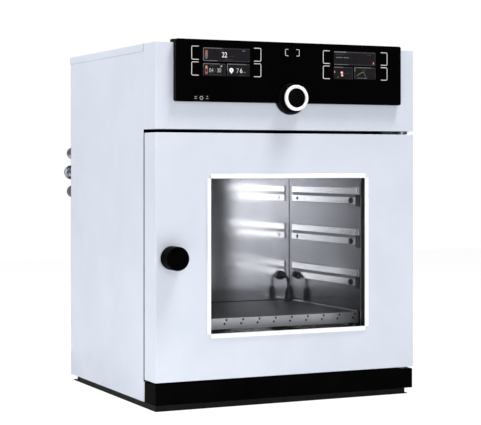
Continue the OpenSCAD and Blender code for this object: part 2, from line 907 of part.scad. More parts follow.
module vacuum_flange() {
    r = vacuum_flange_d / 2;
    y0 = manifold_y1 - 12;
    l = casing_d + vacuum_proud - y0;
    hex = casing_d - y0;
    color([0.62, 0.63, 0.65])
        from_front()
            difference() {
                union() {
                    turned_y(port_x, port_z, y0)
                        polygon([[0, 0], [shank_d / 2, 0], [shank_d / 2, hex], [vacuum_bore / 2 + 2.5, hex],
                            [vacuum_bore / 2 + 2.5, l - 6], [r, l - 4.5], [r, l], [0, l]]);
                    hex_y(port_x, port_z, casing_d, casing_d + 9, 24);
                }
                cyl_y(port_x, port_z, y0 - cut, casing_d + vacuum_proud, shank_d - 5);
                cyl_y(port_x, port_z, casing_d + 3, casing_d + vacuum_proud + cut, vacuum_bore);
                cyl_y(port_x, port_z, casing_d + vacuum_proud - 2.6, casing_d + vacuum_proud + cut, centring_d);
            }
}

module gas_nozzle() {
    z = port_z + port_pitch;
    y0 = manifold_y1 - 12;
    hex = casing_d - y0;
    l = hex + nozzle_proud;
    color([0.62, 0.63, 0.65])
        from_front()
            difference() {
                union() {
                    turned_y(port_x, z, y0)
                        polygon([[0, 0], [shank_d / 2, 0], [shank_d / 2, hex + 8], [fitting_r, hex + 8],
                            [fitting_r, l - 1.5], [fitting_r - 1.5, l], [0, l]]);
                    hex_y(port_x, z, casing_d, casing_d + 8, 22);
                }
                cyl_y(port_x, z, y0 - cut, casing_d + nozzle_proud, nozzle_d - 4);
                cyl_y(port_x, z, casing_d + nozzle_proud - hose_depth, casing_d + nozzle_proud + cut, nozzle_d);
            }
}

module air_silencer() {
    z = port_z - port_pitch;
    y0 = manifold_y1 - 12;
    hex = casing_d - y0;
    l = hex + nozzle_proud;
    groove = 1;
    color([0.6, 0.58, 0.54])
        from_front()
            difference() {
                union() {
                    turned_y(port_x, z, y0)
                        polygon([[0, 0], [shank_d / 2, 0], [shank_d / 2, hex + 8], [fitting_r, hex + 8],
                            [fitting_r, l - 1.5], [fitting_r - 1.5, l], [0, l]]);
                    hex_y(port_x, z, casing_d, casing_d + 8, 22);
                }
                cyl_y(port_x, z, y0 - cut, casing_d + 20, shank_d - 6);
                for (k = [0 : 5])
                    translate([port_x, casing_d + 13 + k * 6, z])
                        rotate([-90, 0, 0])
                            rotate_extrude()
                                translate([fitting_r - groove, 0])
                                    square([2 * groove, 2]);
            }
}

module bulkhead_nuts() {
    color("silver")
        from_front()
            for (k = [-1, 0, 1])
                difference() {
                    hex_y(port_x, port_z + k * port_pitch, rear_y - 5, rear_y, 24);
                    cyl_y(port_x, port_z + k * port_pitch, rear_y - 6, rear_y + cut, shank_d + 2 * seat);
                }
}

// Body of the mains inlet, with a margin all round
module inlet_body(y0, y1, margin) {
    plate_y(y0, y1)
        translate([inlet_x, inlet_z])
            round_rect(13.8 + margin, 10 + margin, 2);
}

module mains_inlet() {
    depth = 16;
    color([0.1, 0.1, 0.1])
        from_front()
            difference() {
                union() {
                    inlet_body(casing_d - 24, casing_d, 0);
                    plate_y(casing_d, casing_d + 3)
                        translate([inlet_x, inlet_z])
                            round_rect(25, 14, 3);
                }
                plate_y(casing_d + 3 - depth, casing_d + 3 + cut)
                    translate([inlet_x, inlet_z])
                        round_rect(12, 8.2, 1.5);
            }
    color("silver")
        from_front() {
            for (pin = [[-7, -3], [7, -3], [0, 3]])
                block([inlet_x + pin.x - 1, inlet_x + pin.x + 1], [casing_d + 3 - depth, casing_d - 2],
                    [inlet_z + pin.y - 2, inlet_z + pin.y + 2]);
        }
}

// Electronics

module power_board() {
    board_w = 180;
    board_l = 140;
    board_t = 1.6;
    corner = 8;
    x0 = half_w - board_w - 50;
    y0 = casing_d - board_l - 60;
    z0 = header_z0 + sheet_t;
    z1 = z0 + 10;
    color([0.1, 0.4, 0.2])
        from_front() {
            for (x = [x0 + corner, x0 + board_w - corner], y = [y0 + corner, y0 + board_l - corner])
                cyl_z(x, y, z0, z1, 7);
            block([x0, x0 + board_w], [y0, y0 + board_l], [z1, z1 + board_t]);
            block([x0 + 20, x0 + 70], [y0 + 20, y0 + 64], [z1 + 1.6, z1 + 38]);
            for (k = [0 : 7])
                block([x0 + 100, x0 + 160], [y0 + 20 + k * 7, y0 + 22 + k * 7], [z1 + 1.6, z1 + 34]);
            for (k = [0 : 2])
                block([x0 + 24 + k * 26, x0 + 42 + k * 26], [y0 + 96, y0 + 124], [z1 + 1.6, z1 + 18]);
            for (k = [0 : 1])
                cyl_z(x0 + 120 + k * 26, y0 + 110, z1 + 1.6, z1 + 30, 20);
        }
}

module control_board() {
    w = 120;
    h = 30;
    stand = 10;
    y0 = sheet_t;
    color([0.1, 0.4, 0.2])
        from_front() {
            for (x = [8 - w, w - 8], z = [8 - h, h - 8])
                cyl_y(x, display_z + z, y0, y0 + stand, 6);
            block([-w, w], [y0 + stand, y0 + stand + 1.6], [display_z - h, display_z + h]);
            block([-30, 10], [y0 + stand + 1.6, y0 + stand + 5], [display_z - 16, display_z + 20]);
            for (x = [-95, -70, 40, 70])
                block([x, x + 18], [y0 + stand + 1.6, y0 + stand + 12], [display_z - 28, display_z - 18]);
        }
}

module casing_screws() {
    head_d = 7.4;
    head_h = 2.4;
    color("silver")
        from_front() {
            for (place = rear_screws)
                turned_y(place.x, place.y, rear_y)
                    polygon([[0, 0], [screw_d / 2, 0], [screw_d / 2, sheet_t], [head_d / 2, sheet_t],
                        [head_d / 2, sheet_t + head_h - 1], [head_d / 2 - 1, sheet_t + head_h],
                        [0, sheet_t + head_h]]);
            for (x = [-20, 20])
                cyl_y(inlet_x + x, inlet_z, casing_d + 3, casing_d + 5, 5.5);
        }
}

// Hinges and latch

// Plate of one hinge, with a rounded nose round the pin
module hinge_plate(z0, z1) {
    nose_r = 12;
    block([hinge_x - nose_r, hinge_x + nose_r], [hinge_depth, front_d], [z0, z1]);
    cyl_z(hinge_x, hinge_depth, z0, z1, 2 * nose_r);
    block([hinge_x - 34, hinge_x + nose_r], [front_d - 20, front_d], [z0, z1]);
}

module hinge_plates() {
    color([0.55, 0.56, 0.58])
        from_front()
            difference() {
                union() {
                    hinge_plate(plinth_z1, plinth_z1 + low_plate_t);
                    hinge_plate(header_z0 - high_plate_t, header_z0);
                }
                cyl_z(hinge_x, hinge_depth, 0, header_z1, hinge_pin_d + 2 * seat);
            }
}

module hinge_pins() {
    color([0.8, 0.81, 0.83])
        from_front() {
            cyl_z(hinge_x, hinge_depth, plinth_z1, door_z0 + hinge_pin_l, hinge_pin_d);
            cyl_z(hinge_x, hinge_depth, door_z1 - hinge_pin_l, header_z0, hinge_pin_d);
        }
}

module door_bushes() {
    d = hinge_pin_d + 2 * running_fit;
    color([0.75, 0.76, 0.78])
        from_front() {
            difference() {
                union() {
                    cyl_z(hinge_x, hinge_depth, door_z1 - hinge_pin_l - 2, door_z1, hinge_pin_d + 2 * bush_wall);
                    cyl_z(hinge_x, hinge_depth, door_z1, door_z1 + 1.2, bush_flange_d);
                }
                cyl_z(hinge_x, hinge_depth, door_z1 - hinge_pin_l - 3, door_z1 + 3, d);
            }
            difference() {
                union() {
                    cyl_z(hinge_x, hinge_depth, door_z0, door_z0 + hinge_pin_l + 2, hinge_pin_d + 2 * bush_wall);
                    cyl_z(hinge_x, hinge_depth, door_z0 - 1, door_z0, bush_flange_d);
                }
                cyl_z(hinge_x, hinge_depth, door_z0 - 3, door_z0 + hinge_pin_l + 3, d);
            }
            difference() {
                union() {
                    cyl_y(knob_x, knob_z, 0, door_t, spindle_d + 2 * bush_wall);
                    cyl_y(knob_x, knob_z, sheet_t, sheet_t + 2, spindle_d + 4 * bush_wall);
                }
                cyl_y(knob_x, knob_z, -cut, door_t + cut, spindle_d + 2 * running_fit);
            }
        }
}

module latch_keeper() {
    color([0.6, 0.61, 0.63])
        from_front()
            difference() {
                block([knob_x - 17, knob_x + 17], [flange_y, flange_y + keeper_t],
                    [knob_z - slot_l / 2 - 10, knob_z + slot_l / 2 + 10]);
                latch_slot(flange_y - cut, flange_y + keeper_t + cut);
            }
}

// Control panel

// Front outline of the panel, with the round notch for the dial's collar
module panel_outline() {
    difference() {
        translate([0, (panel_z0 + panel_z1) / 2])
            round_rect(panel_w, (panel_z1 - panel_z0) / 2, panel_r);
        translate([0, dial_z])
            circle(d = collar_d + 2 * collar_gap);
        translate([power_x, power_z])
            round_rect(power_key_w / 2 + gap, power_key_h / 2 + gap, 2);
    }
}

module panel_housing() {
    back = -panel_t + panel_glass_t;
    hood_r = 3;
    color([0.05, 0.05, 0.055])
        from_front() {
            difference() {
                plate_y(back, 0)
                    panel_outline();
                for (side = [-1, 1])
                    display_box(side, back - cut, back + display_t + 0.5, 1);
            }
            difference() {
                block([-panel_w, panel_w], [0, hood_d], [header_z1, panel_z1]);
                difference() {
                    block([-half_w, half_w], [hood_d - hood_r, hood_d + cut], [panel_z1 - hood_r, panel_z1 + cut]);
                    cyl_x(hood_d - hood_r, panel_z1 - hood_r, -half_w, half_w, 2 * hood_r);
                }
            }
        }
}

// Box of one display, with a margin all round
module display_box(side, y0, y1, margin) {
    block([side * display_x - display_w / 2 - margin, side * display_x + display_w / 2 + margin], [y0, y1],
        [display_z - display_h / 2 - margin, display_z + display_h / 2 + margin]);
}

module panel_glass() {
    color([0.02, 0.02, 0.025])
        from_front()
            plate_y(-panel_t, -panel_t + panel_glass_t)
                panel_outline();
}

module displays() {
    back = -panel_t + panel_glass_t;
    color([0.12, 0.12, 0.13])
        from_front()
            for (side = [-1, 1])
                display_box(side, back, back + display_t, 0);
}

module dial_collar() {
    r = collar_d / 2;
    bore = dial_shaft_d / 2 + 2;
    color([0.04, 0.04, 0.045])
        from_front()
            turned_y(0, dial_z, -collar_t)
                polygon([[bore, 0], [r - 4, 0], [r, 5], [r, collar_t], [bore, collar_t]]);
}

module dial_encoder() {
    bush_d = dial_shaft_d + 2 * running_fit;
    color([0.5, 0.5, 0.52])
        from_front()
            difference() {
                union() {
                    block([-7, 7], [sheet_t, sheet_t + 8], [dial_z - 7, dial_z + 7]);
                    cyl_y(0, dial_z, -collar_t + 2, sheet_t, dial_shaft_d + 3);
                }
                cyl_y(0, dial_z, -collar_t, sheet_t + 5, bush_d);
            }
}

module dial_grip() {
    r = dial_d / 2 - 0.6;
    y1 = -collar_t - gap;
    y0 = -dial_proud + ring_t;
    color([0.05, 0.05, 0.055])
        from_front()
            difference() {
                union() {
                    turned_y(0, dial_z, y0)
                        polygon([[0, 0], [r, 0], [r, y1 - y0 - 1], [r - 1, y1 - y0], [0, y1 - y0]]);
                    cyl_y(0, dial_z, y1, sheet_t + 4, dial_shaft_d);
                }
                cyl_y(0, dial_z, y0 - cut, y0 + key_pocket, dial_ring_in);
            }
}

module dial_ring() {
    mid = (dial_d + dial_ring_in) / 4;
    half = (dial_d - dial_ring_in) / 4;
    color("white")
        from_front()
            turned_y(0, dial_z, -dial_proud) {
                translate([mid - half, half / 2])
                    square([2 * half, ring_t - half / 2]);
                intersection() {
                    translate([mid, half * 1.25])
                        circle(r = half * 1.25);
                    translate([mid - half, 0])
                        square([2 * half, half]);
                }
            }
}

module confirm_key() {
    r = dial_ring_in / 2 - gap;
    sunk = 1.4;
    y0 = -dial_proud + sunk;
    stem = key_travel + 0.4;
    color([0.03, 0.03, 0.035])
        from_front() {
            turned_y(0, dial_z, y0)
                polygon([[0, 1], [r - 2.5, 0], [r - 0.8, 0], [r, 0.8], [r, ring_t - sunk], [0, ring_t - sunk]]);
            cyl_y(0, dial_z, y0 + ring_t - sunk, key_pocket - dial_proud + ring_t - stem, dial_ring_in - 4);
        }
}

module power_key() {
    proud = 0.3;
    color([0.04, 0.04, 0.045])
        from_front() {
            plate_y(-panel_t - proud, -4)
                translate([power_x, power_z])
                    round_rect(power_key_w / 2, power_key_h / 2, 1.8);
            cyl_y(power_x, power_z, -4, 6, 5);
        }
}

// Door

module door_shell() {
    color([0.86, 0.88, 0.92])
        from_front()
            difference() {
                union() {
                    translate([0, 0, door_z0])
                        linear_extrude(door_z1 - door_z0)
                            front_tray(half_w, door_t);
                    for (z = [door_z0, door_z1 - sheet_t])
                        block([-inner_w, inner_w], [sheet_t, door_t - sheet_t], [z, z + sheet_t]);
                }
                block([-window_w - 1, window_w + 1], [-cut, sheet_t + cut],
                    [window_mid - window_h - 1, window_mid + window_h + 1]);
                cyl_z(hinge_x, hinge_depth, 0, header_z1, hinge_pin_d + 2 * bush_wall + 2 * seat);
                cyl_y(knob_x, knob_z, -cut, sheet_t + cut, spindle_d + 2 * bush_wall + 2 * seat);
            }
}

module door_back_frame() {
    wall = sheet_t;
    color([0.8, 0.81, 0.84])
        from_front()
            difference() {
                union() {
                    difference() {
                        block([-inner_w, inner_w], [door_t - wall, door_t], [door_z0, door_z1]);
                        plate_y(0, door_t + cut)
                            translate([0, chamber_mid])
                                round_rect(recess_w, recess_h, 4);
                    }
                    mouth_frame(recess_y - wall, door_t, recess_w + wall, recess_h + wall, 4 + wall,
                        recess_w, recess_h, 4);
                    difference() {
                        plate_y(recess_y - wall, recess_y)
                            translate([0, chamber_mid])
                                round_rect(recess_w + wall, recess_h + wall, 4 + wall);
                        window_block(recess_y - wall - cut, recess_y + cut, tunnel, 4);
                    }
                    each_pane_corner()
                        cyl_y(0, 0, recess_y - cup_depth - wall, recess_y, cup_d);
                }
                each_pane_corner() {
                    cyl_y(0, 0, recess_y - cup_depth, recess_y + cut, cup_d - 2 * wall);
                    cyl_y(0, 0, recess_y - cup_depth - 2 * wall, recess_y, guide_d + 2 * gap);
                }
                cyl_y(knob_x, knob_z, door_t - wall - cut, door_t + cut, spindle_d + 2 * bush_wall + 2 * seat);
            }
}

// Middle of a spring cup near each corner of the pane
module each_pane_corner() {
    for (sx = [-1, 1], sz = [-1, 1])
        translate([sx * (pane_w - corner_in), 0, chamber_mid + sz * (pane_h - corner_in)])
            children();
}

module door_insulation() {
    fit = 0.2;
    color("khaki")
        from_front()
            difference() {
                intersection() {
                    translate([0, door_t, door_z0 + sheet_t + fit])
                        linear_extrude(door_z1 - door_z0 - 2 * (sheet_t + fit))
                            round_rect(inner_w - fit, door_t - sheet_t - fit, bend_r);
                    block([-half_w, half_w], [0, door_t - sheet_t - fit], [0, header_z1]);
                }
                window_block(0, door_t, tunnel + sheet_t + fit, 3);
                plate_y(recess_y - sheet_t - fit, door_t)
                    translate([0, chamber_mid])
                        round_rect(recess_w + sheet_t + fit, recess_h + sheet_t + fit, 6);
                each_pane_corner()
                    cyl_y(0, 0, 6, door_t, cup_d + 2 * fit);
                cyl_z(hinge_x, hinge_depth, door_z0, door_z0 + hinge_pin_l + 4, hinge_pin_d + 2 * bush_wall + 1);
                cyl_z(hinge_x, hinge_depth, door_z1 - hinge_pin_l - 4, door_z1, hinge_pin_d + 2 * bush_wall + 1);
                cyl_y(knob_x, knob_z, 0, door_t, spindle_d + 4 * bush_wall + 1);
            }
}

module window_liner() {
    y0 = sheet_t + outer_pane_t;
    flange = 5;
    color([0.3, 0.3, 0.31])
        from_front()
            difference() {
                window_block(y0, recess_y - sheet_t, tunnel + sheet_t, 3);
                window_block(y0 + sheet_t, recess_y, tunnel, 2);
                window_block(y0 - cut, recess_y, tunnel - flange, 2);
            }
}

// Cross-section of a trim strip, from the window outwards
module trim_section() {
    polygon([[0, 0], [0, trim_proud - 0.6], [1.4, trim_proud], [trim_w - 2, trim_proud], [trim_w, 0.8],
        [trim_w, 0]]);
}

module window_trim() {
    color([0.93, 0.94, 0.95])
        from_front() {
            for (s = [-1, 1]) {
                translate([0, 0, window_mid])
                    rotate([0, s < 0 ? 180 : 0, 0])
                        translate([window_w, 0, -window_h])
                            linear_extrude(2 * window_h)
                                mirror([0, 1])
                                    trim_section();
                translate([0, 0, window_mid])
                    rotate([0, s < 0 ? 90 : -90, 0])
                        translate([window_h, 0, -window_w])
                            linear_extrude(2 * window_w)
                                mirror([0, 1])
                                    trim_section();
            }
        }
}

module outer_pane() {
    color([0.6, 0.65, 0.68, 0.3])
        from_front()
            window_block(sheet_t, sheet_t + outer_pane_t, tunnel, 4);
}

// Inner pane on its springs

module inner_pane() {
    color([0.6, 0.65, 0.68, 0.3])
        from_front()
            plate_y(pane_y, glass_y)
                translate([0, chamber_mid])
                    round_rect(pane_w - 1.6, pane_h - 1.6, 3);
}

module pane_clamps() {
    wall = 1.5;
    leg = 24;
    lip = 5;
    color("silver")
        from_front()
            intersection() {
                each_clamp_corner()
                    block([-leg, 0], [pane_y - cut, glass_y + cut], [-leg, 0]);
                difference() {
                    plate_y(pane_y - cut, glass_y + cut)
                        translate([0, chamber_mid])
                            round_rect(pane_w, pane_h, 4);
                    plate_y(pane_y, glass_y)
                        translate([0, chamber_mid])
                            round_rect(pane_w - wall + seat, pane_h - wall + seat, 3);
                    plate_y(glass_y - cut, glass_y + 2 * cut)
                        translate([0, chamber_mid])
                            round_rect(pane_w - lip, pane_h - lip, 3);
                }
            }
}

// Each corner of the pane, with X and Z running outwards to it
module each_clamp_corner() {
    for (sx = [0, 1], sz = [0, 1])
        translate([0, 0, chamber_mid])
            mirror([sx, 0, 0])
                mirror([0, 0, sz])
                    translate([pane_w, 0, pane_h])
                        children();
}

module pane_guides() {
    clip_y = recess_y - cup_depth - sheet_t - gap - 1;
    color("silver")
        from_front()
            each_pane_corner() {
                cyl_y(0, 0, clip_y - 2, pane_y - cut, guide_d);
                cyl_y(0, 0, clip_y, clip_y + 1, guide_d + 5);
            }
}

module pane_springs() {
    length = pane_y - cut - (recess_y - cup_depth) - 0.2;
    color("lightgray")
        from_front()
            each_pane_corner()
                translate([0, recess_y - cup_depth + 0.1, 0])
                    rotate([-90, 0, 0])
                        coil_spring(4, (guide_d + 2.2) / 2 + spring_wire / 2, spring_wire, length);
}

// Helical spring along Z, swept from a hexagonal wire section
module coil_spring(turns, r, wire, length) {
    steps = 14;
    sides = 6;
    rings = turns * steps;
    rise = length - wire;
    points = [for (i = [0 : rings], j = [0 : sides - 1])
        let (a = 360 * i / steps, b = 360 * j / sides, q = r + wire / 2 * cos(b))
            [q * cos(a), q * sin(a), wire / 2 + rise * i / rings + wire / 2 * sin(b)]];
    walls = [for (i = [0 : rings - 1], j = [0 : sides - 1])
        let (k = (j + 1) % sides)
            [i * sides + j, (i + 1) * sides + j, (i + 1) * sides + k, i * sides + k]];
    ends = [[for (j = [0 : sides - 1]) j], [for (j = [sides - 1 : -1 : 0]) rings * sides + j]];
    polyhedron(points = points, faces = concat(walls, ends), convexity = 8);
}

// Knob and latch

module door_knob() {
    r = knob_d / 2;
    edge_r = 4;
    neck = 3;
    color([0.04, 0.04, 0.045])
        from_front()
            difference() {
                turned_y(knob_x, knob_z, -knob_proud) {
                    translate([0, edge_r])
                        square([r, knob_proud - neck - edge_r]);
                    square([r - edge_r, edge_r]);
                    translate([r - edge_r, edge_r])
                        circle(r = edge_r);
                    translate([0, knob_proud - neck])
                        square([r - 7, neck - gap]);
                }
                cyl_y(knob_x, knob_z, -knob_proud + 12, cut, spindle_d + 2 * seat);
            }
}

module latch_spindle() {
    color([0.7, 0.71, 0.73])
        from_front() {
            cyl_y(knob_x, knob_z, -knob_proud + 12.5, tongue_y + tongue_t, spindle_d);
            plate_y(tongue_y, tongue_y + tongue_t)
                translate([knob_x, knob_z])
                    round_rect(tongue_w / 2, tongue_l / 2, 2);
        }
}

// Heated shelf

module heated_shelf() {
    marks = floor((2 * shelf_w - 12) / mark_pitch) + 1;
    color([0.45, 0.45, 0.46])
        from_front()
            difference() {
                union() {
                    block([-shelf_w, shelf_w], [shelf_y0, shelf_y1], [shelf_z0, shelf_z1]);
                    block([-shelf_rim_w, shelf_rim_w], [shelf_rim_y0, shelf_y1],
                        [ledge_z + gap, ledge_z + groove_h - gap]);
                }
                for (k = [0 : marks - 1], s = [-1, 1])
                    cyl_y((k - (marks - 1) / 2) * mark_pitch + s * 2.1, mark_z + s * 3.65,
                        shelf_y0 - cut, shelf_y0 + 1, mark_d);
                cyl_z(socket_x, plug_y, shelf_z1 - 4, shelf_z1 + cut, 8 + 2 * seat);
            }
}

module shelf_plug() {
    color([0.25, 0.25, 0.26])
        from_front()
            translate([socket_x, plug_y, shelf_z1])
                rotate_extrude()
                    polygon([[0, -3.9], [4, -3.9], [4, 0], [9, 0], [9, 3], [7.6, 4], [7.6, 8], [8.2, 8], [8.2, 11],
                        [7.6, 11], [7.6, plug_h - 7], [4.4, plug_h], [0, plug_h]]);
}

module shelf_lead() {
    plug_top = shelf_z1 + plug_h;
    color([0.08, 0.08, 0.08])
        from_front() {
            cyl_y(socket_x, socket_z, lead_y0 - 4, lead_y0, lead_d);
            translate([socket_x, lead_y0 - 4, socket_z - lead_bend])
                rotate([90, 0, -90])
                    rotate_extrude(angle = 90)
                        translate([lead_bend, 0])
                            circle(d = lead_d);
            cyl_z(socket_x, plug_y, plug_top, socket_z - lead_bend, lead_d);
        }
}

base_rails();
base_plate();
front_plinth();
support_beams();
left_side_panel();
right_side_panel();
roof_panel();
rear_panel();
header_shell();
front_frame();
electronics_tray();
chamber_vessel();
vessel_ribs();
insulation_jacket();
insulation_back();
door_gasket();
shelf_rails();
rail_stops();
rail_screws();
shelf_socket();
chamber_pipe();
valve_manifold();
solenoid_valves();
pressure_sensor();
vacuum_flange();
gas_nozzle();
air_silencer();
bulkhead_nuts();
mains_inlet();
power_board();
control_board();
casing_screws();
hinge_plates();
hinge_pins();
latch_keeper();
panel_housing();
panel_glass();
displays();
dial_collar();
dial_encoder();
door_shell();
door_back_frame();
door_insulation();
window_liner();
window_trim();
outer_pane();
door_bushes();
pane_springs();
inner_pane();
pane_clamps();
pane_guides();
door_knob();
latch_spindle();
dial_grip();
dial_ring();
confirm_key();
power_key();
heated_shelf();
shelf_plug();
shelf_lead();
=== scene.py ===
"""Looks of a benchtop vacuum oven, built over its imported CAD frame."""

import json
import logging
import math
from collections.abc import Sequence
from dataclasses import dataclass, field, replace
from enum import Enum

import bmesh
import bpy
from mathutils import Matrix, Vector

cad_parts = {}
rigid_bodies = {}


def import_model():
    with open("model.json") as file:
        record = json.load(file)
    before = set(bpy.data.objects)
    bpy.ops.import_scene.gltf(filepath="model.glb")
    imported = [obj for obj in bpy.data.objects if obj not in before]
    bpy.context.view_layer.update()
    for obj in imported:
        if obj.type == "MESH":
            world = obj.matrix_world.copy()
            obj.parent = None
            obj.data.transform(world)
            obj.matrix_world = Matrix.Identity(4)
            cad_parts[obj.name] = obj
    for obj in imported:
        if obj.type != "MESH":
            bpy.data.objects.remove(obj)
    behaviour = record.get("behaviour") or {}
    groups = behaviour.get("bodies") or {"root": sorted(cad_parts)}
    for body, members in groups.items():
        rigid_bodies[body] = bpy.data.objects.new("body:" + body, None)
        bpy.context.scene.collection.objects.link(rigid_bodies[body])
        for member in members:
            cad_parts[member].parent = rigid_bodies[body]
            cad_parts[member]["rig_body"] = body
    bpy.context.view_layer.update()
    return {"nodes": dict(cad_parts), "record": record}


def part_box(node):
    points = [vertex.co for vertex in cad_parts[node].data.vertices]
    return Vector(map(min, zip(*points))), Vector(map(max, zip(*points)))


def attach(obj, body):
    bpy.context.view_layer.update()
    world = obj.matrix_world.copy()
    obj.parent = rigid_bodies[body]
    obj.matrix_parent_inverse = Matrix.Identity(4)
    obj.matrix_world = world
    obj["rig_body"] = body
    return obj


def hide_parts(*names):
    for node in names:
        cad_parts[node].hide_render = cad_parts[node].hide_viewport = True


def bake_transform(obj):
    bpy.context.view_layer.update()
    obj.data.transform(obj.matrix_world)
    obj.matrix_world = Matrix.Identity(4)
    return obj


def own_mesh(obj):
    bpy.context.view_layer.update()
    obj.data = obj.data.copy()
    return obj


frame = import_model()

LOG = logging.getLogger("vacuum_oven")
MM = 0.001
FRONT_Y = -250.5  # the door's front face in the row frame, in mm; every depth below starts from it
# SEAM_X also sets where the rails' roots are painted dull grey as painted shade.
SEAM_X = 191.2  # distance from the middle, in mm, at which the chamber's dark corner seam starts

Loop = Sequence[tuple[float, float]]
Inputs = dict[str | int, object]


class Body(Enum):
    """Rigid bodies that a piece can move with."""

    CASING = "casing"
    DOOR = "door"
    PANE = "pane"
    LATCH = "latch"
    DIAL = "dial"
    CONFIRM = "confirm_key"
    POWER = "power_key"
    SHELF = "shelf"


class Side(Enum):
    """Edges of a display tile."""

    TOP = "top"
    LOW = "low"
    LEFT = "left"
    RIGHT = "right"


class Split(Enum):
    """Ways in which a finish changes at a plane: with the depth, or alike on both sides of the middle."""

    DEPTH = "Y"
    SIDES = "X"


def linear(code: str) -> tuple[float, float, float, float]:
    """Turns an sRGB hex colour into linear values.

    Args:
        code: Six hex digits.

    Returns:
        Linear red, green and blue, and full opacity.
    """
    parts = [int(code[i : i + 2], 16) / 255 for i in (0, 2, 4)]
    r, g, b = (c / 12.92 if c <= 0.04045 else ((c + 0.055) / 1.055) ** 2.4 for c in parts)
    return (r, g, b, 1.0)


def add(
    tree: bpy.types.NodeTree, kind: str, inputs: Inputs | None = None, **settings: object
) -> bpy.types.Node:
    """Adds a node with its settings, values and links.

    Args:
        tree: Node tree that gets the node.
        kind: Blender's name of the node type.
        inputs: Input name or index to a value, or to an output socket that is linked in.
        settings: Attributes of the node.

    Returns:
        The new node.
    """
    node = tree.nodes.new(kind)
    for key, value in settings.items():
        setattr(node, key, value)
    for key, value in (inputs or {}).items():
        if isinstance(value, bpy.types.NodeSocket):
            tree.links.new(value, node.inputs[key])
        else:
            node.inputs[key].default_value = value
    return node


def at(x: float, y: float, z: float) -> Vector:
    """Place in the row frame, in metres, of a point given in millimetres from the door's front face."""
    return Vector((x, y + FRONT_Y, z)) * MM


# Finishes

TONE_RANGE = (0.35, 0.65)  # noise values between which the main colour turns into the second tone
GLOSS_RANGE = (0.3, 0.7)  # noise values between which the roughness moves
SMOOTHEST = 0.02  # roughness below which no finish goes
WAVE_TURN = 20.0  # radians that Blender's wave texture turns by in one metre at scale 1


